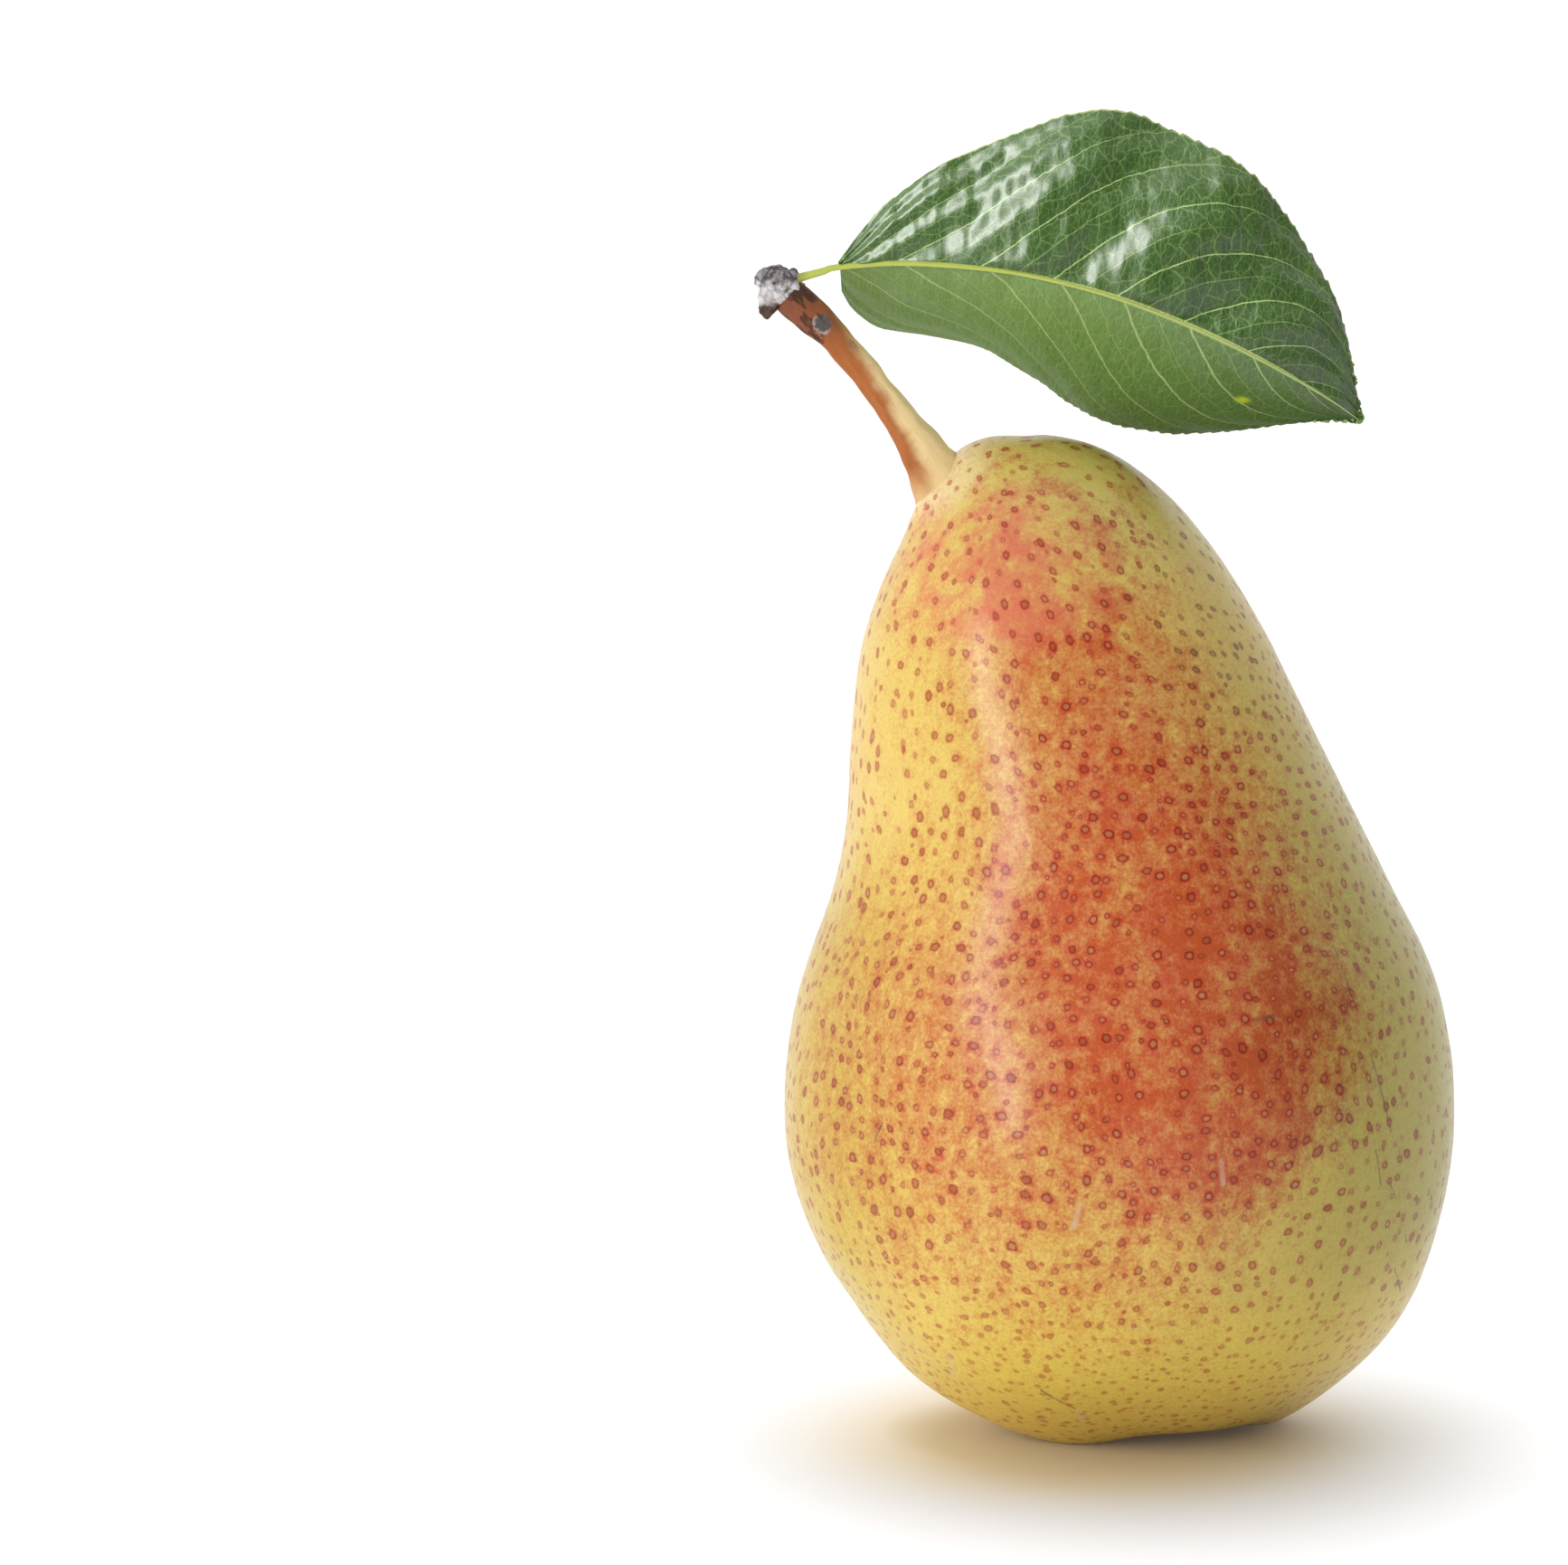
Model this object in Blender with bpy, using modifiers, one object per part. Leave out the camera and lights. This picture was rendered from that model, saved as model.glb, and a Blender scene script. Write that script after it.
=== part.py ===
"""A ripe pear standing on the lobes of its base, with its stem, the stub of the fruiting spur,
one leaf on its stalk and the dried calyx underneath.

Lengths are in metres. +Z is up, -Y is the side that faces the viewer, and the origin lies on the
resting plane under the middle of the whole object.
"""

import math

import bmesh
import bpy
from mathutils import Vector
from mathutils.geometry import interpolate_bezier

MM = 0.001
GAP = 0.3 * MM  # free space between pieces that touch on the real fruit

# Fruit: half of its outline as (radius, height), from the top of the neck down to the calyx.
FRUIT_OUTLINE = [
    (0.0, 96.1), (4.4, 95.4), (8.4, 93.3), (11.8, 90.0), (15.3, 85.1), (18.6, 78.9),
    (21.0, 72.1), (22.9, 65.1), (24.9, 58.1), (27.3, 51.7), (29.9, 45.7), (31.7, 39.1),
    (32.5, 32.5), (32.2, 25.7), (30.3, 19.1), (26.9, 13.0), (22.2, 8.0), (16.8, 4.2),
    (12.6, 1.8), (9.4, 1.1), (6.6, 2.0), (4.4, 3.9), (2.2, 5.6), (0.0, 6.2),
]
FRUIT_STEPS = 48  # sides of the turned fruit
OUTLINE_SAMPLES = 2  # mesh rings for each span of the outline
FRUIT_DEPTH = 0.97  # front-to-back size as a share of the width

# Where the middle of the fruit lies at each height, as (height, sideways shift): the neck leans.
LEAN = [(0.0, 4.4), (12.0, 2.2), (30.0, 1.1), (50.0, 0.9), (67.0, -2.3), (79.0, -4.6), (96.1, -6.4)]

# Base lobes as (bearing in degrees, how far the rim hangs down): all but one reach the ground.
LOBES = [(228.0, 1.75), (300.0, 0.2), (5.0, 1.75), (78.0, 1.7), (150.0, 1.7)]
LOBE_SPREAD = 27.0  # degrees from a lobe's middle to where it has mostly faded
LOBE_TOP = 24.0 * MM  # height at which the lobes have melted into the round belly
LOBE_SWELL = 0.035  # how much a lobe widens the fruit, as a share of its radius
BASIN_EDGE = (3.0 * MM, 9.0 * MM)  # radii between which the lobes take hold

# Stem: its middle line as (x, y, z) with the radius there, from inside the fruit to the spur.
STEM_ROUTE = [
    ((-14.6, 0.0, 89.7), 3.3), ((-16.4, -0.2, 92.3), 3.1), ((-18.3, -0.5, 95.2), 2.1),
    ((-20.7, -0.8, 98.6), 1.55), ((-23.4, -1.0, 102.1), 1.4), ((-26.3, -1.2, 105.4), 1.5),
    ((-28.6, -1.4, 107.7), 1.85), ((-30.6, -1.5, 109.3), 1.9),
]
TUBE_SAMPLES = 4  # curve points for each span of a tube's route

# Stub of the woody spur: middle, half sizes and the depth of the ridges in its bark.
SPUR_MIDDLE = Vector((-31.6, -1.6, 110.3)) * MM
SPUR_HALF = Vector((2.3, 2.1, 2.35)) * MM
SPUR_RIDGE = 0.09

# Leaf: stalk route, then the middle line of the blade as (x, y, z).
STALK_ROUTE = [
    ((-31.0, -1.9, 110.7), 0.5), ((-29.2, -2.1, 111.4), 0.42),
    ((-27.4, -2.4, 111.7), 0.38), ((-26.1, -2.7, 112.1), 0.36),
]
MIDRIB = [
    (-25.7, -2.8, 112.3), (-19.7, -3.8, 112.7), (-11.0, -5.0, 112.1), (-4.0, -5.6, 110.7),
    (2.2, -5.6, 108.8), (9.0, -5.0, 106.0), (15.2, -3.6, 102.9), (20.3, -1.6, 99.9),
    (24.0, 0.8, 97.4),
]
# Widths of the blade's two halves as (share of the length, upper half, lower half).
BLADE_WIDTHS = [
    (0.0, 0.5, 0.5), (0.02, 2.0, 3.8), (0.06, 4.1, 8.1), (0.12, 7.2, 11.0), (0.2, 11.6, 12.6),
    (0.3, 16.2, 15.2), (0.4, 18.3, 17.3), (0.5, 18.1, 18.0), (0.6, 16.2, 16.2),
    (0.7, 13.2, 12.5), (0.8, 8.7, 7.6), (0.9, 4.0, 3.0), (1.0, 0.4, 0.4),
]
BLADE_THICKNESS = 0.4 * MM
BLADE_ALONG, BLADE_ACROSS = 26, 14  # grid cells of the blade
BLADE_CROWDING = 1.25  # above 1, the cells crowd towards the rounded base
# Each half bends back from the midrib: angles in degrees at the midrib and at the margin.
UPPER_BEND = (4.0, 36.0)
LOWER_BEND_AT_BASE = (38.0, 78.0)
LOWER_BEND_AT_TIP = (16.0, 56.0)
BLADE_WAVES, WAVE_HEIGHT = 3.0, 0.5 * MM  # the margin's gentle waves

# Calyx: a dried cup in the basin under the fruit with five sepals around it.
CALYX_MIDDLE = Vector((3.5, 0.0, 0.0)) * MM
CUP_OUTLINE = [(1.0, 5.6), (1.5, 5.4), (1.7, 4.6), (1.55, 3.7), (1.15, 3.7), (0.95, 4.6)]
CUP_STEPS = 16
SEPAL_COUNT = 5
SEPAL_ROUTE = [(2.1, 5.0), (3.0, 4.1), (3.8, 2.9), (4.4, 1.6)]  # (distance out, height)
SEPAL_HALF_WIDTHS = [0.95, 1.05, 0.7, 0.15]
SEPAL_THICKNESS = 0.35 * MM

COLOURS = {  # linear colour and roughness of each material
    "pear_skin": ((0.62, 0.36, 0.05), 0.38),
    "stem_bark": ((0.42, 0.16, 0.05), 0.55),
    "spur_bark": ((0.33, 0.30, 0.28), 0.85),
    "leaf_green": ((0.06, 0.19, 0.03), 0.35),
    "leaf_stalk": ((0.38, 0.50, 0.06), 0.45),
    "dried_calyx": ((0.09, 0.05, 0.03), 0.90),
}


def clear_scene():
    for obj in list(bpy.data.objects):
        bpy.data.objects.remove(obj)


def collection(name):
    made = bpy.data.collections.new(name)
    bpy.context.scene.collection.children.link(made)
    return made


def material(name):
    colour, roughness = COLOURS[name]
    made = bpy.data.materials.new(name)
    made.diffuse_color = (*colour, 1.0)
    made.use_nodes = True
    shader = made.node_tree.nodes["Principled BSDF"]
    shader.inputs["Base Color"].default_value = (*colour, 1.0)
    shader.inputs["Roughness"].default_value = roughness
    shader.inputs["Metallic"].default_value = 0.0
    return made


def add(name, mesh, into, surface=None):
    obj = bpy.data.objects.new(name, mesh)
    into.objects.link(obj)
    if surface:
        mesh.materials.clear()
        mesh.materials.append(surface)
    return obj


def as_mesh(obj):
    """The object's shape with its modifiers, as a new mesh in world space."""
    graph = bpy.context.evaluated_depsgraph_get()
    mesh = bpy.data.meshes.new_from_object(obj.evaluated_get(graph))
    mesh.transform(obj.matrix_world)
    return mesh


def smooth_line(knots, samples):
    """Points along a smooth curve through the knots, with `samples` steps for each span."""
    knots = [Vector(k).to_3d() for k in knots]
    ends = [2 * knots[0] - knots[1], *knots, 2 * knots[-1] - knots[-2]]
    line = [knots[0]]
    for before, start, end, after in zip(ends, ends[1:], ends[2:], ends[3:]):
        handle = start + (end - before) / 6
        other = end - (after - start) / 6
        line += interpolate_bezier(start, handle, other, end, samples + 1)[1:]
    return line


def value_at(knots, place):
    """The smooth value at `place` between (place, value) knots, level beyond both ends."""
    places = [k[0] for k in knots]
    place = min(max(place, places[0]), places[-1])
    i = max(n for n in range(len(knots) - 1) if places[n] <= place)
    before, after = knots[max(i - 1, 0)], knots[min(i + 2, len(knots) - 1)]
    (p0, v0), (p1, v1) = knots[i], knots[i + 1]
    share, span = (place - p0) / (p1 - p0), p1 - p0
    slope0 = (v1 - before[1]) / (p1 - before[0]) * span
    slope1 = (after[1] - v0) / (after[0] - p0) * span
    bend = slope0 * (share**3 - 2 * share**2 + share) + slope1 * (share**3 - share**2)
    return v0 + (v1 - v0) * fade(share) + bend


def fade(share):
    """0 to 1 with level ends."""
    share = min(max(share, 0.0), 1.0)
    return share * share * (3 - 2 * share)


def lathe(name, outline, steps, into, closed=False):
    """A turned solid: the outline is (radius, height) in metres, down the outer side."""
    mesh = bpy.data.meshes.new(name)
    points = [(r, 0.0, z) for r, z in outline]
    edges = [(i, i + 1) for i in range(len(points) - 1)]
    if closed:
        edges.append((len(points) - 1, 0))
    mesh.from_pydata(points, edges, [])
    obj = add(name, mesh, into)
    screw = obj.modifiers.new("Turn", "SCREW")
    screw.steps = screw.render_steps = steps
    screw.use_merge_vertices = True
    screw.merge_threshold = 0.01 * MM
    return obj


def lobe_drop(bearing):
    """How far the rim of the base hangs down at this bearing, in metres."""
    drop = 0.0
    for middle, depth in LOBES:
        away = (bearing - middle + 180.0) % 360.0 - 180.0
        drop += depth * math.exp(-((away / LOBE_SPREAD) ** 2))
    return drop * MM


def grown(point):
    """A point of the evenly turned fruit, moved to where the leaning, lobed fruit has it."""
    radius = math.hypot(point.x, point.y)
    bearing = math.degrees(math.atan2(point.y, point.x))
    low = 1.0 - fade(point.z / LOBE_TOP)
    inner, outer = BASIN_EDGE
    lobe = lobe_drop(bearing) * low * fade((radius - inner) / (outer - inner))
    swell = 1.0 + LOBE_SWELL * lobe / MM
    return Vector((
        point.x * swell + value_at(LEAN, point.z / MM) * MM,
        point.y * swell * FRUIT_DEPTH,
        point.z - lobe,
    ))


def difference(obj, cutter, helpers):
    """Cuts the cutter out of obj with a Boolean, and hides the cutter."""
    for other in list(cutter.users_collection):
        other.objects.unlink(cutter)
    helpers.objects.link(cutter)
    cutter.hide_render = True
    cutter.display_type = "WIRE"
    cut = obj.modifiers.new("Cut by " + cutter.name, "BOOLEAN")
    cut.operation = "DIFFERENCE"
    cut.object = cutter


def swollen(obj, by, helpers):
    """A copy of obj that is larger by `by` all round, to cut its neighbours with."""
    mesh = as_mesh(obj)
    shape = bmesh.new()
    shape.from_mesh(mesh)
    bmesh.ops.remove_doubles(shape, verts=shape.verts, dist=0.001 * MM)
    shape.normal_update()
    moved = [v.co + v.normal * by for v in shape.verts]
    for vertex, place in zip(shape.verts, moved):
        vertex.co = place
    shape.to_mesh(mesh)
    shape.free()
    return add(obj.name + "_swollen", mesh, helpers)


def make_fruit(parts, helpers):
    outline = smooth_line([(r * MM, z * MM, 0) for r, z in FRUIT_OUTLINE], OUTLINE_SAMPLES)
    turned = lathe("turned_fruit", [(p.x, p.y) for p in outline], FRUIT_STEPS, helpers)
    mesh = as_mesh(turned)
    bpy.data.objects.remove(turned)
    for vertex in mesh.vertices:
        vertex.co = grown(vertex.co)
    mesh.shade_smooth()
    fruit = add("fruit", mesh, parts, material("pear_skin"))

    depth = 6 * MM
    bpy.ops.mesh.primitive_cube_add(size=1, location=(0, 0, -depth / 2))
    ground = bpy.context.object
    ground.name = "ground_block"
    ground.scale = (60 * MM, 60 * MM, depth)
    difference(fruit, ground, helpers)
    return fruit


def tube(name, route, helpers):
    """A round, tapering tube as a mesh: the route is ((x, y, z), radius) in millimetres."""
    places = smooth_line([Vector(p) * MM for p, _ in route], TUBE_SAMPLES)
    steps = [(float(i), r) for i, (_, r) in enumerate(route)]
    curve = bpy.data.curves.new(name, "CURVE")
    curve.dimensions = "3D"
    curve.bevel_depth = MM
    curve.bevel_resolution = 3
    curve.use_fill_caps = True
    spline = curve.splines.new("POLY")
    spline.points.add(len(places) - 1)
    for i, (point, place) in enumerate(zip(spline.points, places)):
        point.co = (*place, 1.0)
        point.radius = value_at(steps, i / TUBE_SAMPLES)
    wire = add(name + "_curve", curve, helpers)
    bpy.context.view_layer.update()
    mesh = as_mesh(wire)
    bpy.data.objects.remove(wire)
    shape = bmesh.new()
    shape.from_mesh(mesh)
    bmesh.ops.remove_doubles(shape, verts=shape.verts, dist=0.001 * MM)
    shape.to_mesh(mesh)
    shape.free()
    mesh.shade_smooth()
    return mesh


def make_spur(parts):
    """The knob of spur wood: a ball with lengthwise ridges, blunt where it broke off the tree."""
    bpy.ops.mesh.primitive_uv_sphere_add(segments=18, ring_count=12, radius=1.0)
    ball = bpy.context.object
    mesh = ball.data
    for vertex in mesh.vertices:
        around = math.atan2(vertex.co.z, vertex.co.y)
        ridge = 1.0 + SPUR_RIDGE * math.cos(5 * around) * math.cos(2.2 * vertex.co.x)
        vertex.co = Vector((max(vertex.co.x, -0.82), vertex.co.y * ridge, vertex.co.z * ridge))
        vertex.co = Vector([a * b for a, b in zip(vertex.co, SPUR_HALF)]) + SPUR_MIDDLE
    bpy.data.objects.remove(ball)
    mesh.shade_smooth()
    return add("spur_stub", mesh, parts, material("spur_bark"))


def make_stem(parts, helpers, fruit, spur):
    stem = add("stem", tube("stem", STEM_ROUTE, helpers), parts, material("stem_bark"))
    for neighbour in (fruit, spur):
        difference(stem, swollen(neighbour, GAP, helpers), helpers)
    return stem


def make_stalk(parts, helpers, spur, stem):
    mesh = tube("leaf_stalk", STALK_ROUTE, helpers)
    stalk = add("leaf_stalk", mesh, parts, material("leaf_stalk"))
    for neighbour in (spur, stem):
        difference(stalk, swollen(neighbour, GAP, helpers), helpers)


def bent_half(width, bend):
    """How far (outwards, back) a strip of this width reaches when its slope turns evenly."""
    start, turn = math.radians(bend[0]), math.radians(bend[1] - bend[0])
    out = (math.sin(start + turn) - math.sin(start)) / turn
    back = (math.cos(start) - math.cos(start + turn)) / turn
    return width * out, width * back


def blade_point(along, across, line):
    """The blade's surface: `along` is 0 at the base and 1 at the tip, `across` -1 to 1."""
    place = along * (len(line) - 1)
    i = min(int(place), len(line) - 2)
    middle = line[i].lerp(line[i + 1], place - i)
    forward = (line[i + 1] - line[i]).normalized()
    outward = Vector((0, 1, 0)).cross(forward).normalized() * -1
    width = value_at([(k[0], k[1 if across > 0 else 2]) for k in BLADE_WIDTHS], along) * MM
    share = fade(along)
    lower = [a + (b - a) * share for a, b in zip(LOWER_BEND_AT_BASE, LOWER_BEND_AT_TIP)]
    start, end = UPPER_BEND if across > 0 else lower
    reach = abs(across)
    out, back = bent_half(width * reach, (start, start + (end - start) * max(reach, 0.01)))
    wave = WAVE_HEIGHT * reach**2 * math.sin(2 * math.pi * BLADE_WAVES * along)
    side = 1 if across > 0 else -1
    return middle + outward * out * side + Vector((0, back + wave * math.sin(math.pi * along), 0))


def make_blade(parts):
    shape = bmesh.new()
    bmesh.ops.create_grid(shape, x_segments=BLADE_ALONG, y_segments=BLADE_ACROSS, size=1.0)
    line = smooth_line([Vector(p) * MM for p in MIDRIB], 6)
    for vertex in shape.verts:
        along, across = ((vertex.co.x + 1) / 2) ** BLADE_CROWDING, vertex.co.y
        vertex.co = blade_point(along, across, line)
    mesh = bpy.data.meshes.new("leaf_blade")
    shape.to_mesh(mesh)
    shape.free()
    mesh.shade_smooth()
    blade = add("leaf_blade", mesh, parts, material("leaf_green"))
    thick = blade.modifiers.new("Thickness", "SOLIDIFY")
    thick.thickness = BLADE_THICKNESS
    thick.offset = 0.0


def make_cup(parts, helpers, surface):
    outline = [(r * MM, z * MM) for r, z in CUP_OUTLINE]
    turned = lathe("turned_cup", outline, CUP_STEPS, helpers, closed=True)
    mesh = as_mesh(turned)
    bpy.data.objects.remove(turned)
    mesh.shade_smooth()
    cup = add("calyx_cup", mesh, parts, surface)
    cup.location = CALYX_MIDDLE


def make_sepals(parts, surface):
    """Five dried sepals, each a small curled blade that hangs from beside the cup."""
    line = smooth_line([(out * MM, 0, up * MM) for out, up in SEPAL_ROUTE], 3)
    widths = [(float(i), w) for i, w in enumerate(SEPAL_HALF_WIDTHS)]
    for n in range(SEPAL_COUNT):
        shape = bmesh.new()
        bmesh.ops.create_grid(shape, x_segments=len(line) - 1, y_segments=4, size=1.0)
        for vertex in shape.verts:
            place = (vertex.co.x + 1) / 2 * (len(line) - 1)
            middle = line[min(round(place), len(line) - 1)]
            half = value_at(widths, place / 3) * MM
            across = vertex.co.y
            curl = Vector((0.35 * half * across**2, 0, 0))
            vertex.co = middle + curl + Vector((0, across * half, 0))
        mesh = bpy.data.meshes.new(f"sepal_{n + 1}")
        shape.to_mesh(mesh)
        shape.free()
        mesh.shade_smooth()
        sepal = add(f"sepal_{n + 1}", mesh, parts, surface)
        sepal.location = CALYX_MIDDLE
        sepal.rotation_euler.z = 2 * math.pi * (n + 0.25) / SEPAL_COUNT
        thick = sepal.modifiers.new("Thickness", "SOLIDIFY")
        thick.thickness = SEPAL_THICKNESS
        thick.offset = 0.0


def main():
    clear_scene()
    parts, helpers = collection("pear"), collection("cutters")
    fruit = make_fruit(parts, helpers)
    bpy.context.view_layer.update()
    spur = make_spur(parts)
    stem = make_stem(parts, helpers, fruit, spur)
    bpy.context.view_layer.update()
    make_stalk(parts, helpers, spur, stem)
    make_blade(parts)
    dried = material("dried_calyx")
    make_cup(parts, helpers, dried)
    make_sepals(parts, dried)


main()
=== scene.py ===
# %% [markdown]
# # A ripe pear with its leaf
#
# This lesson dresses a plain working model of a pear in its real surface. The working model is
# the frame: a fruit, a stem, a stub of spur wood, a leaf stalk, a leaf blade and, underneath, the
# dried calyx. Each piece gets a finer mesh and a finish made of shader nodes. Lengths are in
# metres, Z is up, and the viewer stands on the -Y side, a little above the table.

# %% Load the frame
import math

import bpy
from mathutils import Matrix, Vector, noise


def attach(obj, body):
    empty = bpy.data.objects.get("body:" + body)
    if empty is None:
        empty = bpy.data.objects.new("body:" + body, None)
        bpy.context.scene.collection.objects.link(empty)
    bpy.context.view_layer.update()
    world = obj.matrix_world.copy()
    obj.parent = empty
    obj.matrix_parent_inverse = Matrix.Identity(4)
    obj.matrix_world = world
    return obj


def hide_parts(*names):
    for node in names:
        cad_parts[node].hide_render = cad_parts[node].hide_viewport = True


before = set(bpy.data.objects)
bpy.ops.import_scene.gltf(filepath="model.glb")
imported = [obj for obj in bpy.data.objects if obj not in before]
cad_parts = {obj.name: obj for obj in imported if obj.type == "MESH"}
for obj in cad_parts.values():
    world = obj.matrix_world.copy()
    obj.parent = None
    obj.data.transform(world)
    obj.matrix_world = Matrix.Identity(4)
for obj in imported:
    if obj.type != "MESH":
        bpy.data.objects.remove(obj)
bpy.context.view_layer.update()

MM = 0.001
print("frame pieces:", ", ".join(sorted(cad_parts)))

# %% [markdown]
# ## Working by hand, in code
#
# Blender's operators act on whatever is selected, and loading the frame leaves its pieces
# selected. So everything is deselected first, and one small function picks the object that the
# next operators work on. Another function runs a few operators in edit mode and comes back out.

# %% Selecting and editing


def pick(piece):
    """Makes one object the only selected and active one."""
    bpy.ops.object.select_all(action="DESELECT")
    piece.select_set(True)
    bpy.context.view_layer.objects.active = piece
    return piece


def edit(piece, *steps):
    """Runs the steps in edit mode on the whole mesh of one object."""
    pick(piece)
    bpy.ops.object.mode_set(mode="EDIT")
    bpy.ops.mesh.select_all(action="SELECT")
    for step in steps:
        step()
    bpy.ops.object.mode_set(mode="OBJECT")
    return piece


def modify(piece, kind, **settings):
    """Adds a modifier with these settings and applies it."""
    pick(piece)
    bpy.ops.object.modifier_add(type=kind)
    added = piece.modifiers[-1]
    for name, value in settings.items():
        setattr(added, name, value)
    bpy.ops.object.modifier_apply(modifier=added.name)
    return piece


def subdivide_smoothly(piece, levels):
    return modify(piece, "SUBSURF", levels=levels, render_levels=levels)


def pull(piece, spot, way, reach):
    """Takes hold of the mesh at a spot and pulls; the mesh around it follows more and more weakly."""
    nearest = min(piece.data.vertices, key=lambda v: (v.co - Vector(spot) * MM).length_squared).index
    pick(piece)
    bpy.ops.object.mode_set(mode="EDIT")
    bpy.ops.mesh.select_all(action="DESELECT")
    bpy.ops.object.mode_set(mode="OBJECT")
    piece.data.vertices[nearest].select = True
    bpy.ops.object.mode_set(mode="EDIT")
    bpy.ops.transform.translate(value=Vector(way) * MM, use_proportional_edit=True,
                                proportional_edit_falloff="SMOOTH", proportional_size=reach * MM)
    bpy.ops.object.mode_set(mode="OBJECT")


def merge(piece):
    """Joins the points that lie on the same spot."""
    return edit(piece, lambda: bpy.ops.mesh.remove_doubles(threshold=0.002 * MM))


def copy_of_frame(node, name):
    """A merged, editable copy of a frame piece."""
    piece = bpy.data.objects.new(name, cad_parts[node].data.copy())
    bpy.context.scene.collection.objects.link(piece)
    piece.data.materials.clear()
    merge(piece)
    edit(piece, bpy.ops.mesh.customdata_custom_splitnormals_clear)
    return piece


def finish_piece(piece, slot, *nodes):
    """Says which frame pieces this one stands for and which finish it takes."""
    # Applies its transforms, shades it smooth, hangs it on the root and hides the frame pieces that it
    # stands for. The slot is not used.
    pick(piece)
    bpy.ops.object.transform_apply(location=True, rotation=True, scale=True)
    bpy.ops.object.shade_smooth()
    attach(piece, "root")
    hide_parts(*nodes)
    print(f"{piece.name}: {len(piece.data.polygons)} faces")
    return piece


bpy.ops.object.select_all(action="DESELECT")

# %% [markdown]
# ## A short way to write shader nodes
#
# A skin like a pear's needs a lot of arithmetic: distances, soft edges and sums of masks. Wiring
# those nodes one at a time hides the idea, so a small class wraps a socket and turns Python's
# + - * / into Math nodes. Every other node comes from one method of the finish it belongs to.

# %% Shader helper


class Wire:
    """The output of a node, which can be used in arithmetic."""

    def __init__(self, finish, socket):
        self.finish = finish
        self.socket = socket

    def maths(self, operation, *others):
        return self.finish.maths(operation, self, *others)

    def __add__(self, other):
        return self.maths("ADD", other)

    def __radd__(self, other):
        return self.finish.maths("ADD", other, self)

    def __sub__(self, other):
        return self.maths("SUBTRACT", other)

    def __rsub__(self, other):
        return self.finish.maths("SUBTRACT", other, self)

    def __mul__(self, other):
        return self.maths("MULTIPLY", other)

    def __rmul__(self, other):
        return self.finish.maths("MULTIPLY", other, self)

    def __truediv__(self, other):
        return self.maths("DIVIDE", other)

    def __pow__(self, other):
        return self.maths("POWER", other)


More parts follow.
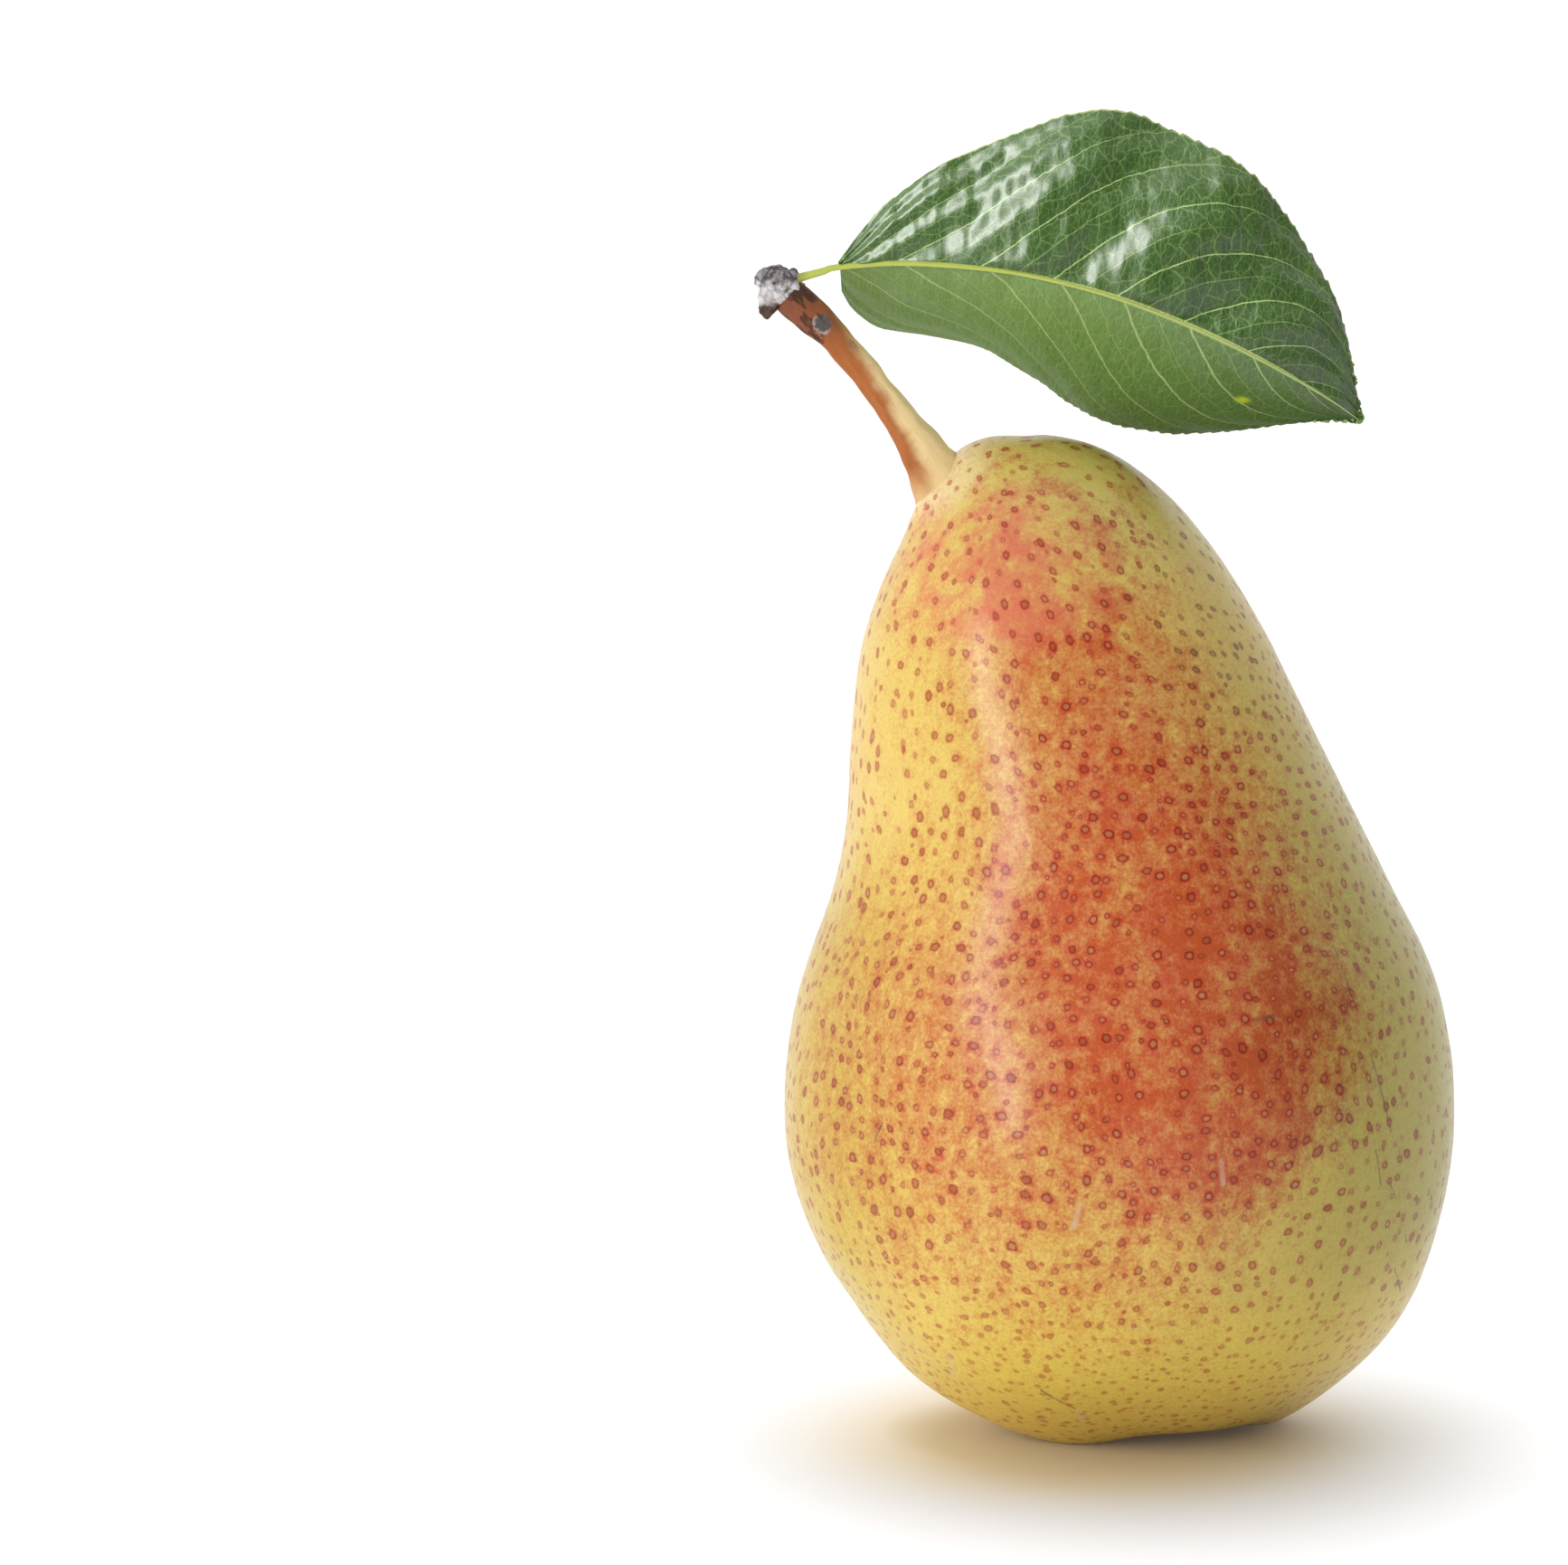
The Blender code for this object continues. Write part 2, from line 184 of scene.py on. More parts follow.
class Finish:
    """A material under construction, with its Principled shader."""

    def __init__(self, name, **constants):
        self.material = bpy.data.materials.new(name)
        self.material.use_nodes = True
        self.tree = self.material.node_tree
        self.shader = self.tree.nodes["Principled BSDF"]
        for socket, value in constants.items():
            self.shader.inputs[socket.replace("_", " ")].default_value = value

    def node(self, kind, settings, values, out=0):
        """Adds a node: its settings first, then the values or wires of its sockets."""
        made = self.tree.nodes.new(kind)
        for name, value in settings.items():
            if name == "stops":
                while len(made.color_ramp.elements) < len(value):
                    made.color_ramp.elements.new(1.0)
                for element, (place, colour) in zip(made.color_ramp.elements, value):
                    element.position = place
                    element.color = (*colour, 1.0)
            else:
                setattr(made, name, value)
        for socket, value in values.items():
            if isinstance(value, Wire):
                self.tree.links.new(value.socket, made.inputs[socket])
            elif isinstance(value, tuple) and made.inputs[socket].type == "RGBA":
                made.inputs[socket].default_value = (*value, 1.0)
            else:
                made.inputs[socket].default_value = value
        return Wire(self, made.outputs[out])

    def maths(self, operation, *values):
        return self.node("ShaderNodeMath", {"operation": operation}, dict(enumerate(values)))

    def highest(self, masks):
        """The strongest of several masks at each point."""
        top = masks[0]
        for mask in masks[1:]:
            top = top.maths("MAXIMUM", mask)
        return top

    def vector(self, operation, *values, out=0):
        return self.node("ShaderNodeVectorMath", {"operation": operation}, dict(enumerate(values)), out)

    def scaled(self, vector, factor):
        return self.node("ShaderNodeVectorMath", {"operation": "SCALE"}, {0: vector, "Scale": factor})

    def place(self):
        """Where the shaded point is, in millimetres."""
        return self.scaled(self.node("ShaderNodeTexCoord", {}, {}, "Object"), 1 / MM)

    def parts(self, vector):
        made = self.node("ShaderNodeSeparateXYZ", {}, {0: vector})
        outputs = made.socket.node.outputs
        return [Wire(self, outputs[i]) for i in range(3)]

    def noise(self, vector, size, detail=2.0, rough=0.5, stretch=None):
        """Soft noise from 0 to 1 whose bumps are about this size, longer where stretch is above 1."""
        if stretch:
            vector = self.vector("DIVIDE", vector, stretch)
        sockets = {"Vector": vector, "Scale": 1 / size, "Detail": detail, "Roughness": rough}
        return self.node("ShaderNodeTexNoise", {}, sockets, "Fac")

    def soft_step(self, value, start, end):
        """0 before start and 1 after end, with soft ends; start may be the larger one."""
        settings = {"interpolation_type": "SMOOTHSTEP"}
        if start > end:
            return 1 - self.soft_step(value, end, start)
        return self.node("ShaderNodeMapRange", settings, {"Value": value, 1: start, 2: end})

    def mix(self, mask, first, second, mode="MIX"):
        """Colour: the first where the mask is 0, the second (or the blend with it) where it is 1."""
        settings = {"data_type": "RGBA", "blend_type": mode}
        return self.node("ShaderNodeMix", settings, {0: mask, 6: first, 7: second}, 2)

    def blob(self, point, centre, radii, start=1.25, end=0.55):
        """A soft ellipsoid: 1 inside, 0 outside."""
        away = self.vector("DIVIDE", self.vector("SUBTRACT", point, centre), radii)
        return self.soft_step(self.vector("LENGTH", away, out="Value"), start, end)

    def line(self, point, start, end, width):
        """A thin mark between two points, 1 on its middle line and 0 past its width."""
        along = Vector(end) - Vector(start)
        from_start = self.vector("SUBTRACT", point, tuple(start))
        share = self.vector("DOT_PRODUCT", from_start, tuple(along / along.length_squared), out="Value")
        share = self.node("ShaderNodeClamp", {}, {0: share})
        nearest = self.scaled(tuple(along), share)
        away = self.vector("DISTANCE", from_start, nearest, out="Value")
        return self.soft_step(away, width, width * 0.3)

    def bump(self, height, depth, under=None):
        """Relief: height 1 stands this deep (in metres) above height 0."""
        values = {"Height": height, "Strength": 1.0, "Distance": depth}
        return self.node("ShaderNodeBump", {}, values | ({"Normal": under} if under else {}))

    def feed(self, **wires):
        for socket, wire in wires.items():
            self.tree.links.new(wire.socket, self.shader.inputs[socket.replace("_", " ")])
        print(f"finish {self.material.name}: {len(self.tree.nodes)} nodes")
        return self.material


# %% [markdown]
# ## The fruit's shape
#
# The frame's fruit is a turned outline with a leaning neck and a lobed base, in flat facets. It
# could be sculpted again from a sphere, but the frame already has the right form, so a merged
# copy gets its triangles turned back into squares and is then subdivided, which rounds every
# facet. The low left flank and the shoulder under the stem are pulled out a little further with
# proportional editing, as the fruit is fuller there. A real pear is never a perfect curve: two
# cloud textures push the skin in and out by a few tenths of a millimetre. The push fades out at
# the base, where the lobes rest on the table.

# %% Fruit mesh
skin = copy_of_frame("fruit", "pear_skin")
edit(skin, lambda: bpy.ops.mesh.tris_convert_to_quads(face_threshold=0.6, shape_threshold=1.2))
subdivide_smoothly(skin, 2)

PULLS = [  # the spot, how far and which way it goes, and how far the pull reaches
    ((-13, -6, 2.6), (-0.3, -0.2, -1.3), 11),
    ((-19, -6, 7.0), (-0.6, 0, -0.7), 10),
    ((-12, 0, 91), (-0.2, 0, 1.1), 7),
    ((-17.5, -1, 89), (0, 0, 1.5), 5),
]
unpulled = [v.co.copy() for v in skin.data.vertices]
for spot, way, reach in PULLS:
    pull(skin, spot, way, reach)
furthest = max((v.co - before).length for before, v in zip(unpulled, skin.data.vertices))
print("pulled out by up to", round(furthest / MM, 2), "mm")

FREE_HEIGHT = 12 * MM  # below this the dents fade out
free = skin.vertex_groups.new(name="free_skin")
for vertex in skin.data.vertices:
    free.add([vertex.index], min(vertex.co.z / FREE_HEIGHT, 1.0), "REPLACE")

for name, size, strength in (("broad_dents", 17 * MM, 0.7 * MM), ("small_dents", 4.5 * MM, 0.12 * MM)):
    clouds = bpy.data.textures.new(name, "CLOUDS")
    clouds.noise_scale = size
    clouds.noise_depth = 1
    modify(skin, "DISPLACE", texture=clouds, texture_coords="LOCAL", strength=strength,
           mid_level=0.5, vertex_group="free_skin")
for vertex in skin.data.vertices:  # the lobes rest on the table
    vertex.co.z = max(vertex.co.z, 0.0)
print("fruit height:", round(max(v.co.z for v in skin.data.vertices) / MM, 1), "mm")


def on_skin(x, z):
    """The point of the skin seen at x, z (in millimetres) from the front."""
    start = Vector((x * MM, -0.2, z * MM))
    found, point, _, _ = skin.ray_cast(start, Vector((0, 1, 0)))
    return point / MM if found else Vector((x, 0, z))


# %% [markdown]
# ## A map of the skin
#
# The dots in the skin are evenly spread, so they need a map that measures millimetres along the
# skin, like parallels and meridians on a globe. Seen from a point in the belly, the angle from
# straight up grows steadily from the stem end to the calyx, so the skin's points are sorted by
# it, and the outline's length is added up band by band. The map keeps that length as V and the
# turn round the axis, from 0 to 1, as U.

# %% Skin map
HEART = Vector((1.0, 0.0, 34.0)) * MM  # the point the skin is measured from
SKIN_TOP = Vector((0, 96)) * MM  # the top of the outline: distance from the axis, and height
BANDS = 30


def downward_share(spot):
    """0 straight above the heart and 1 straight below it."""
    return (spot - HEART).angle((0, 0, 1)) / math.pi


bands = [[] for _ in range(BANDS)]
for vertex in skin.data.vertices:
    bands[min(int(downward_share(vertex.co) * BANDS), BANDS - 1)].append(vertex.co)
outline = [SKIN_TOP]
for spots in bands:
    from_axis = sum((p - HEART).xy.length for p in spots)
    outline.append(Vector((from_axis, sum(p.z for p in spots))) / len(spots))
reaches = [0.0]
for before, after in zip(outline, outline[1:]):
    reaches.append(reaches[-1] + (after - before).length)
skin_length = reaches[-1] + outline[-1].x


def reach_of(spot):
    """How far along the skin a point is from the top, in metres."""
    band = min(max(downward_share(spot) * BANDS + 0.5, 0.0), BANDS - 0.001)
    start = int(band)
    end = reaches[start + 1] if start + 1 < len(reaches) else skin_length
    return reaches[start] + (end - reaches[start]) * (band - start)


skin_map = skin.data.uv_layers.new(name="skin_map")
for face in skin.data.polygons:
    turns = []
    for loop in face.loop_indices:
        spot = skin.data.vertices[skin.data.loops[loop].vertex_index].co
        turns.append((math.atan2(spot.x - HEART.x, -(spot.y - HEART.y)) / math.tau + 0.5, reach_of(spot)))
    over_seam = max(t[0] for t in turns) - min(t[0] for t in turns) > 0.5
    for loop, (turn, reach) in zip(face.loop_indices, turns):
        skin_map.data[loop].uv = (turn + 1 if over_seam and turn < 0.5 else turn, reach / MM)
print("skin from stem to calyx:", round(skin_length / MM), "mm")

# %% [markdown]
# ## The fruit's skin
#
# The ground colour runs from golden yellow on the left to olive on the right flank, round the top
# of the neck and over part of the back. The blush is a red pigment that lies over that ground, so
# it is multiplied with it: red-orange over yellow, brick over olive. Its edge isn't a line. It
# breaks up into streaks that run from stem to calyx and into fine specks, so several noises of
# different sizes are added to the mask before it is cut with a soft step.

# %% Ground colour
peel = Finish("pear_skin", Coat_Weight=0.5, Coat_Roughness=0.26, Specular_IOR_Level=0.1)
place = peel.place()
x, y, z = peel.parts(place)

GOLD = (0.72, 0.48, 0.085)
PALE_GOLD = (0.77, 0.57, 0.16)
# the yellow of the base, lightened as well as a painted bounce of light from the table
LOW_GOLD_AND_BOUNCE = (0.78, 0.58, 0.10)
OLIVE = (0.42, 0.36, 0.065)
GREEN_GOLD = (0.64, 0.54, 0.13)
CREAM = (0.90, 0.72, 0.40)
# painted shade that darkens the low left flank
FLANK_SHADE_TINT = (0.84, 0.86, 0.60)
FRECKLE_TINT = (0.80, 0.80, 0.70)
PIGMENT = (0.76, 0.185, 0.23)  # what the blush lets through
ROSE = (0.97, 0.36, 0.72)  # the pinker pigment near the stem
PINK = (0.62, 0.13, 0.08)
RUST = (0.54, 0.13, 0.05)  # what the dots' rings let through
OLIVE_RUST = (0.20, 0.24, 0.10)  # and what they let through on the shaded side of the neck
CORK = (0.68, 0.38, 0.16)
SCRATCH_BROWN = (0.17, 0.09, 0.04)
SCUFF_BUFF = (0.66, 0.55, 0.44)

patches = peel.noise(place, 11.0, 2.0)
streaks = peel.noise(place, 1.9, 3.0, 0.6, stretch=(1.0, 1.0, 4.5))
specks = peel.noise(place, 0.33, 2.0, 0.7)
grain = peel.noise(place, 1.1, 3.0, 0.6)
islands = peel.noise(place, 4.5, 3.0, 0.6)

olive_side = peel.soft_step(x + (patches - 0.5) * 14 + y * 0.22, -6.0, 24.0)
top_green = peel.blob(place, (2, -4, 95), (19, 24, 15), 1.3, 0.3)
ground = peel.mix(patches, GOLD, PALE_GOLD)
ground = peel.mix(olive_side * (0.92 - peel.soft_step(z, 50.0, 78.0) * 0.25), ground, OLIVE)
ground = peel.mix(top_green * 0.8, ground, GREEN_GOLD)
# the base's yellow ground, made lighter as a painted bounce of the light from the table
low_gold_and_bounce = peel.soft_step(z + (patches - 0.5) * 8, 25.0, 8.0)
ground = peel.mix(low_gold_and_bounce * 0.9, ground, LOW_GOLD_AND_BOUNCE)
# painted shade: the low left flank is darkened to offset the white room mirrored along its edge
left_flank_shade = peel.soft_step(x, -17.0, -27.0) * peel.soft_step(z, 64.0, 48.0)
ground = peel.mix(left_flank_shade, ground, FLANK_SHADE_TINT, "MULTIPLY")
collar = peel.blob(place, (-15.5, 0, 92), (8.0, 9.0, 5.5), 1.1, 0.45)
ground = peel.mix(collar * (0.5 + streaks * 0.5), ground, CREAM)

print("ground colours:", GOLD, PALE_GOLD, LOW_GOLD_AND_BOUNCE, OLIVE, GREEN_GOLD, CREAM)

# %% Blush
BLUSH = [  # middle and radii of each soft patch, and how strong it is
    ((6, -28, 47), (15, 22, 18), 0.97),
    ((11, -24, 43), (12, 20, 11), 0.75),
    ((7, -29, 34), (10, 20, 9), 0.80),
    ((1, -24, 62), (14, 20, 13), 0.75),
    ((-4, -18, 75), (12, 18, 11), 0.64),
    ((-11, -13, 83.5), (12, 16, 6), 0.76),
    ((-12, -22, 38), (20, 24, 20), 0.62),
    ((0, -28, 20), (12, 18, 8), 0.26),
    ((-3, -12, 91), (14, 14, 7), 0.25),
    ((-11, -8, 91), (6, 8, 3), 0.35),
    ((18, 24, 44), (14, 20, 22), 0.55),
]
bare = 1.0
for middle, radii, strength in BLUSH:  # each patch leaves a share of the skin bare
    bare = bare * (1 - peel.blob(place, middle, radii, 1.6, 0.1) * strength)
near_stem = peel.blob(place, (-9, -14, 87), (15, 20, 10))
ragged = (1 - bare) * (islands * 1.6 + 0.2)
ragged = ragged + (streaks - 0.5) * 0.7 + (grain - 0.5) * 1.2 + (specks - 0.5) * 1.0
ragged = ragged + near_stem * ((islands - 0.5) * 2.2 + (patches - 0.5) * 0.8)
blush = peel.soft_step(ragged, -0.10, 1.2)
freckles = peel.soft_step(specks, 0.35, 0.7)
ground = peel.mix(freckles * 0.5, ground, FRECKLE_TINT, "MULTIPLY")
print("blush patches:", len(BLUSH))

# %% [markdown]
# ## Dots in the skin
#
# A pear breathes through small corky dots, each a tan speck in a dark red-brown ring with a soft
# red halo. Thousands of modelled dots would be heavy, so the map of the skin is cut into rows,
# like courses of brick, and most bricks get one dot, moved at random a little way off its
# middle. The number of bricks in a row follows the girth of the fruit there, and the rows are
# bent by a slow noise, so no rows show. A second, finer set of bricks holds the small dots,
# which crowd round the base.

# %% Rows of dots
skin_uv = peel.node("ShaderNodeUVMap", {"uv_map": "skin_map"}, {})
turn, reach, _ = peel.parts(skin_uv)
from_heart = peel.vector("SUBTRACT", place, tuple(HEART / MM))
level = peel.vector("MULTIPLY", from_heart, (1, 1, 0))
girth_here = peel.vector("LENGTH", level, out="Value") * math.tau
LONGEST, WIDEST = 160.0, 40.0  # millimetres that 1 stands for in the outline's ramp
outline_stops = [(0.0, (0.0, 0.0, 0.0))]
outline_stops += [(r / MM / LONGEST, (p.x / MM / WIDEST,) * 3) for r, p in zip(reaches[1:], outline[1:])]


def dots(pitch, radius, jitter, kept, shift):
    """Ring, centre and halo masks of one set of dots, sizes in millimetres."""
    sway = peel.noise(place, 9.0 + shift, 0.0)
    row_place = (reach + (sway - 0.5) * 3.2) / pitch
    row = row_place.maths("FLOOR")
    row_reach = (row + 0.5) * pitch / LONGEST
    radius_there = peel.node("ShaderNodeValToRGB", {"stops": outline_stops}, {0: row_reach})
    count = (radius_there * (WIDEST * math.tau / pitch)).maths("ROUND").maths("MAXIMUM", 3.0)
    offset = peel.node("ShaderNodeTexWhiteNoise", {"noise_dimensions": "1D"}, {"W": row + shift}, "Value")
    slow = peel.noise(place, 12.0 + shift, 0.0)
    brick_place = (turn + offset) * count + (slow - 0.5) * 1.8
    brick = brick_place.maths("FLOOR")
    name = peel.node("ShaderNodeCombineXYZ", {}, {0: brick.maths("MODULO", count), 1: row, 2: shift})
    chance = peel.parts(peel.node("ShaderNodeTexWhiteNoise", {}, {"Vector": name}, "Color"))
    luck = peel.parts(peel.node(
        "ShaderNodeTexWhiteNoise", {"noise_dimensions": "4D"}, {"Vector": name, "W": 5.0}, "Color"))
    sideways = (brick_place - brick - 0.5 - (chance[0] - 0.5) * jitter) / count * girth_here
    downwards = (row_place - row - 0.5 - (chance[1] - 0.5) * jitter) * pitch
    wobble = 1 + (peel.noise(place, 0.4, 1.0) - 0.5) * 0.7
    away = (sideways * sideways + downwards * downwards).maths("SQRT") * wobble
    size = (0.72 + luck[0] * 0.5) * radius
    shown = luck[1].maths("LESS_THAN", kept)
    reach_out = away / size
    centre = peel.soft_step(reach_out, 0.72, 0.35) * shown * (0.25 + luck[2] * 0.75)
    ring = peel.soft_step(reach_out, 1.2, 0.72) * shown * (0.55 + luck[0] * 0.45)
    halo = peel.soft_step(reach_out, 2.2, 0.8) * shown
    return ring, centre, halo


# %% Dots and the skin's colour
DOT_PITCH, SMALL_DOT_PITCH = 2.1, 1.75  # millimetres from row to row
neck = peel.soft_step(z, 66.0, 86.0)
base = peel.soft_step(z, 26.0, 9.0)
DOT_CLOUDS = [
    dots(DOT_PITCH, 0.415 - neck * 0.07 - base * 0.11, 0.62, 0.90, 0.0),
    dots(SMALL_DOT_PITCH, 0.24, 0.66, 0.16 + base * 0.6, 0.31),
]
ring, centre, halo = [peel.highest(masks) for masks in zip(*DOT_CLOUDS)]

blush = (blush + halo * (0.10 + blush * 0.22)).maths("MINIMUM", 1.0)
pigment = peel.mix(peel.blob(place, (-12, -14, 85), (12, 18, 9)), PIGMENT, ROSE)
colour = peel.mix(blush, ground, pigment, "MULTIPLY")
pinkness = peel.soft_step(islands + (grain - 0.5) * 0.9 + (specks - 0.5) * 0.7, 0.60, 0.40)
pinkness = pinkness * blush * (0.75 - olive_side * 0.5) * peel.soft_step(z, 18.0, 44.0)
colour = peel.mix(pinkness * 0.55, colour, PINK)
shaded_side = peel.blob(place, (11, -9, 81), (11, 16, 12))
rust = peel.mix(shaded_side * 0.8, RUST, OLIVE_RUST)
colour = peel.mix(ring * (0.92 - base * 0.3), colour, rust, "MULTIPLY")
colour = peel.mix(centre * 0.5, colour, CORK)
rows = [round(skin_length / MM / pitch) for pitch in (DOT_PITCH, SMALL_DOT_PITCH)]
print("rows of dots and of small dots:", rows)

# %% [markdown]
# ## Scuffs and relief
#
# Leaves and twigs leave thin brown scratches and pale scuffs on a fruit. Each is a short line
# between two points of the skin, so it stays where it is from every side. The skin's gloss comes
# from a thin wax, dull where it is scuffed, and a fine grain breaks up its highlights.

# %% Scratches, gloss and bump
SCRATCHES = [  # from and to as (x, z) seen from the front, and the width
    ((23.5, 40.0), (25.6, 32.5), 0.22), ((25.6, 27.5), (27.6, 21.0), 0.20),
    ((24.0, 31.0), (24.6, 27.5), 0.18), ((20.0, 50.0), (21.5, 46.0), 0.16),
    ((12.1, 44.2), (14.4, 44.5), 0.24), ((-7.0, 7.8), (-3.8, 5.6), 0.24),
    ((-22.8, 31.6), (-22.0, 33.6), 0.16), ((26.5, 18.5), (27.4, 15.6), 0.18),
]
SCUFFS = [
    ((-15.6, 11.0), (-15.2, 8.4), 0.5), ((-3.2, 5.0), (-3.0, 3.6), 0.45),
    ((9.0, 31.6), (9.2, 29.4), 0.34), ((-4.0, 27.6), (-4.5, 25.4), 0.36),
    ((13.0, 4.6), (15.0, 5.4), 0.4),
]
shake = peel.node("ShaderNodeTexNoise", {}, {"Vector": place, "Scale": 2.2, "Detail": 1.0}, "Color")
wavy_place = peel.vector("ADD", place, peel.scaled(
    peel.vector("SUBTRACT", shake, (0.5, 0.5, 0.5)), 0.28))
marks, scuffs = [
    peel.highest([peel.line(wavy_place, on_skin(*a), on_skin(*b), width) for a, b, width in lines])
    for lines in (SCRATCHES, SCUFFS)
]
colour = peel.mix(marks * (0.35 + grain * 0.6), colour, SCRATCH_BROWN)
colour = peel.mix(scuffs * peel.soft_step(specks, 0.3, 0.6) * 0.42, colour, SCUFF_BUFF)

rough = 0.40 + (grain - 0.5) * 0.18 + ring * 0.12 + scuffs * 0.2
relief = peel.bump(grain * 0.6 + specks * 0.8 + ring * 0.5 - centre * 0.5, 0.06 * MM)
skin.data.materials.append(peel.feed(Base_Color=colour, Roughness=rough, Normal=relief))
finish_piece(skin, "skin", "fruit")

# %% [markdown]
# ## The stem
#
# The stem is a tapering twig that bends away from the fruit, fleshy where it joins. A curve with
# a round bevel draws it: a few points along its middle line, each with its own radius. The curve
# becomes a mesh, which is subdivided and wrinkled lengthwise, as bark is, by moving its points
# along their normals with a noise that is stretched along the stem.

# %% Tubes along a smooth line


def bend(start, end, slope_in, slope_out, t):
    """The place at t, from 0 to 1, on a smooth curve with these slopes at its two ends."""
    return (start * (1 + 2 * t) * (1 - t) ** 2 + slope_in * t * (1 - t) ** 2
            + end * t * t * (3 - 2 * t) - slope_out * t * t * (1 - t))


def smooth_line(knots, samples):
    """Points along a smooth curve through the knots, each knot any number of values long."""
    knots = [Vector(k) for k in knots]
    ends = [2 * knots[0] - knots[1], *knots, 2 * knots[-1] - knots[-2]]
    line = [knots[0]]
    for before, start, end, after in zip(ends, ends[1:], ends[2:], ends[3:]):
        slope_in, slope_out = (end - before) / 2, (after - start) / 2
        line += [bend(start, end, slope_in, slope_out, step / samples) for step in range(1, samples + 1)]
    return line


def tube(name, route, samples, sides=8):
    """A round tube as a mesh. The route is (x, y, z, radius) in millimetres."""
    places = smooth_line(route, samples)
    bpy.ops.curve.primitive_nurbs_path_add(location=(0, 0, 0))
    piece = bpy.context.object
    piece.name = name
    curve = piece.data
    curve.splines.remove(curve.splines[0])
    curve.bevel_depth = MM
    curve.bevel_resolution = sides
    curve.use_fill_caps = True
    spline = curve.splines.new("POLY")
    spline.points.add(len(places) - 1)
    for point, place in zip(spline.points, places):
        point.co = (*(place.xyz * MM), 1.0)
        point.radius = place.w
    pick(piece)
    bpy.ops.object.convert(target="MESH")
    return merge(bpy.context.object)


def push_out(piece, height):
    """Moves each point of a mesh along its normal by height(point), in metres."""
    moved = [v.co + v.normal * height(v.co) for v in piece.data.vertices]
    for vertex, spot in zip(piece.data.vertices, moved):
        vertex.co = spot


# %% Stem mesh
STEM_ROUTE = [
    (-13.6, 0.0, 88.2, 4.6), (-15.4, -0.1, 90.8, 3.7), (-16.9, -0.2, 92.9, 2.75), (-18.3, -0.5, 95.2, 2.12),
    (-20.7, -0.8, 98.6, 1.62), (-23.4, -1.0, 102.1, 1.42), (-26.3, -1.2, 105.4, 1.5),
    (-28.6, -1.4, 107.7, 1.78), (-30.9, -1.5, 109.6, 1.7),
]
STEM_AXIS = Vector((-0.62, -0.06, 0.78))  # roughly along the stem, from the fruit
stem = tube("pear_stem", STEM_ROUTE, 10)


def stem_wrinkles(spot):
    along = spot.dot(STEM_AXIS)
    across = (spot - STEM_AXIS * along) / MM
    lengthwise = noise.noise(across * 1.1 + STEM_AXIS * along / MM * 0.14)
    lumps = noise.noise(spot / MM * 0.55 + Vector((3, 1, 7)))
    return (lengthwise * 0.16 + lumps * 0.16) * MM


subdivide_smoothly(stem, 1)
push_out(stem, stem_wrinkles)
stem_line = [Vector(knot[:3]) for knot in STEM_ROUTE]
stem_length = sum((b - a).length for a, b in zip(stem_line, stem_line[1:]))
print("stem, with the foot that is sunk in the fruit:", round(stem_length, 1), "mm")

# %% [markdown]
# The stem is tan-yellow where it leaves the fruit and on its upper side, orange-brown below, and
# red-brown with dark cracks towards the spur. How far a point lies along the stem's own axis
# picks the colour, and stretched noise gives the grain. A round grey scar marks where a bud or a
# second stalk came away.

# %% Stem finish
SCAR = (-27.4, -3.0, 107.0)
LEAN = 0.67  # radians that turn the stem upright
TAN, PALE_TAN = (0.82, 0.58, 0.24), (0.90, 0.72, 0.40)
DARK_BROWN, ORANGE_BROWN = (0.27, 0.055, 0.006), (0.54, 0.17, 0.030)
RED_BROWN = (0.17, 0.055, 0.028)
FOOT_GOLD = (0.84, 0.60, 0.27)
SCAR_RIM_BUFF = (0.60, 0.52, 0.48)
SCAR_DARK, SCAR_GREY = (0.045, 0.036, 0.034), (0.17, 0.15, 0.14)


def along_stem(finish, point):
    """0 at the fruit and 1 at the spur."""
    start = Vector(STEM_ROUTE[1][:3])
    whole = Vector(STEM_ROUTE[-1][:3]) - start
    away = finish.vector("SUBTRACT", point, tuple(start))
    return finish.vector("DOT_PRODUCT", away, tuple(whole / whole.length_squared), out="Value")


wood = Finish("stem_bark", Coat_Weight=0.05, Specular_IOR_Level=0.25)
place = wood.place()
turned = wood.node("ShaderNodeVectorRotate", {"rotation_type": "Y_AXIS"}, {"Vector": place, "Angle": LEAN})
fibres = wood.noise(turned, 0.55, 3.0, 0.65, stretch=(1.0, 1.0, 9.0))
blotches = wood.noise(place, 2.6, 3.0, 0.6)
fine = wood.noise(place, 0.3, 2.0, 0.6)
along = along_stem(wood, place)
x, _, z = wood.parts(place)
# the right side of the stem stays tan: a plane that follows the stem parts the two
right_side = wood.parts(turned)[0]
middle_x = (Matrix.Rotation(LEAN, 3, "Y") @ Vector(STEM_ROUTE[4][:3])).x
tan_side = wood.soft_step(right_side + (blotches - 0.5) * 1.6 - along * 3.6, middle_x - 2.3, middle_x - 0.8)
colour = wood.mix(fibres, TAN, PALE_TAN)
colour = wood.mix((1 - tan_side) * 0.97, colour, wood.mix(fibres, DARK_BROWN, ORANGE_BROWN))
towards_spur = wood.soft_step(along + (blotches - 0.5) * 0.5 + (fibres - 0.5) * 0.4, 0.62, 0.98)
colour = wood.mix(towards_spur * 0.8, colour, RED_BROWN)
foot = wood.soft_step(along + (blotches - 0.5) * 0.12, 0.20, 0.0)
colour = wood.mix(foot * 0.8, colour, FOOT_GOLD)
burnt = wood.noise(turned, 1.1, 3.0, 0.6, stretch=(1.0, 1.0, 3.0)) - wood.soft_step(along, 0.70, 1.0) * 0.16
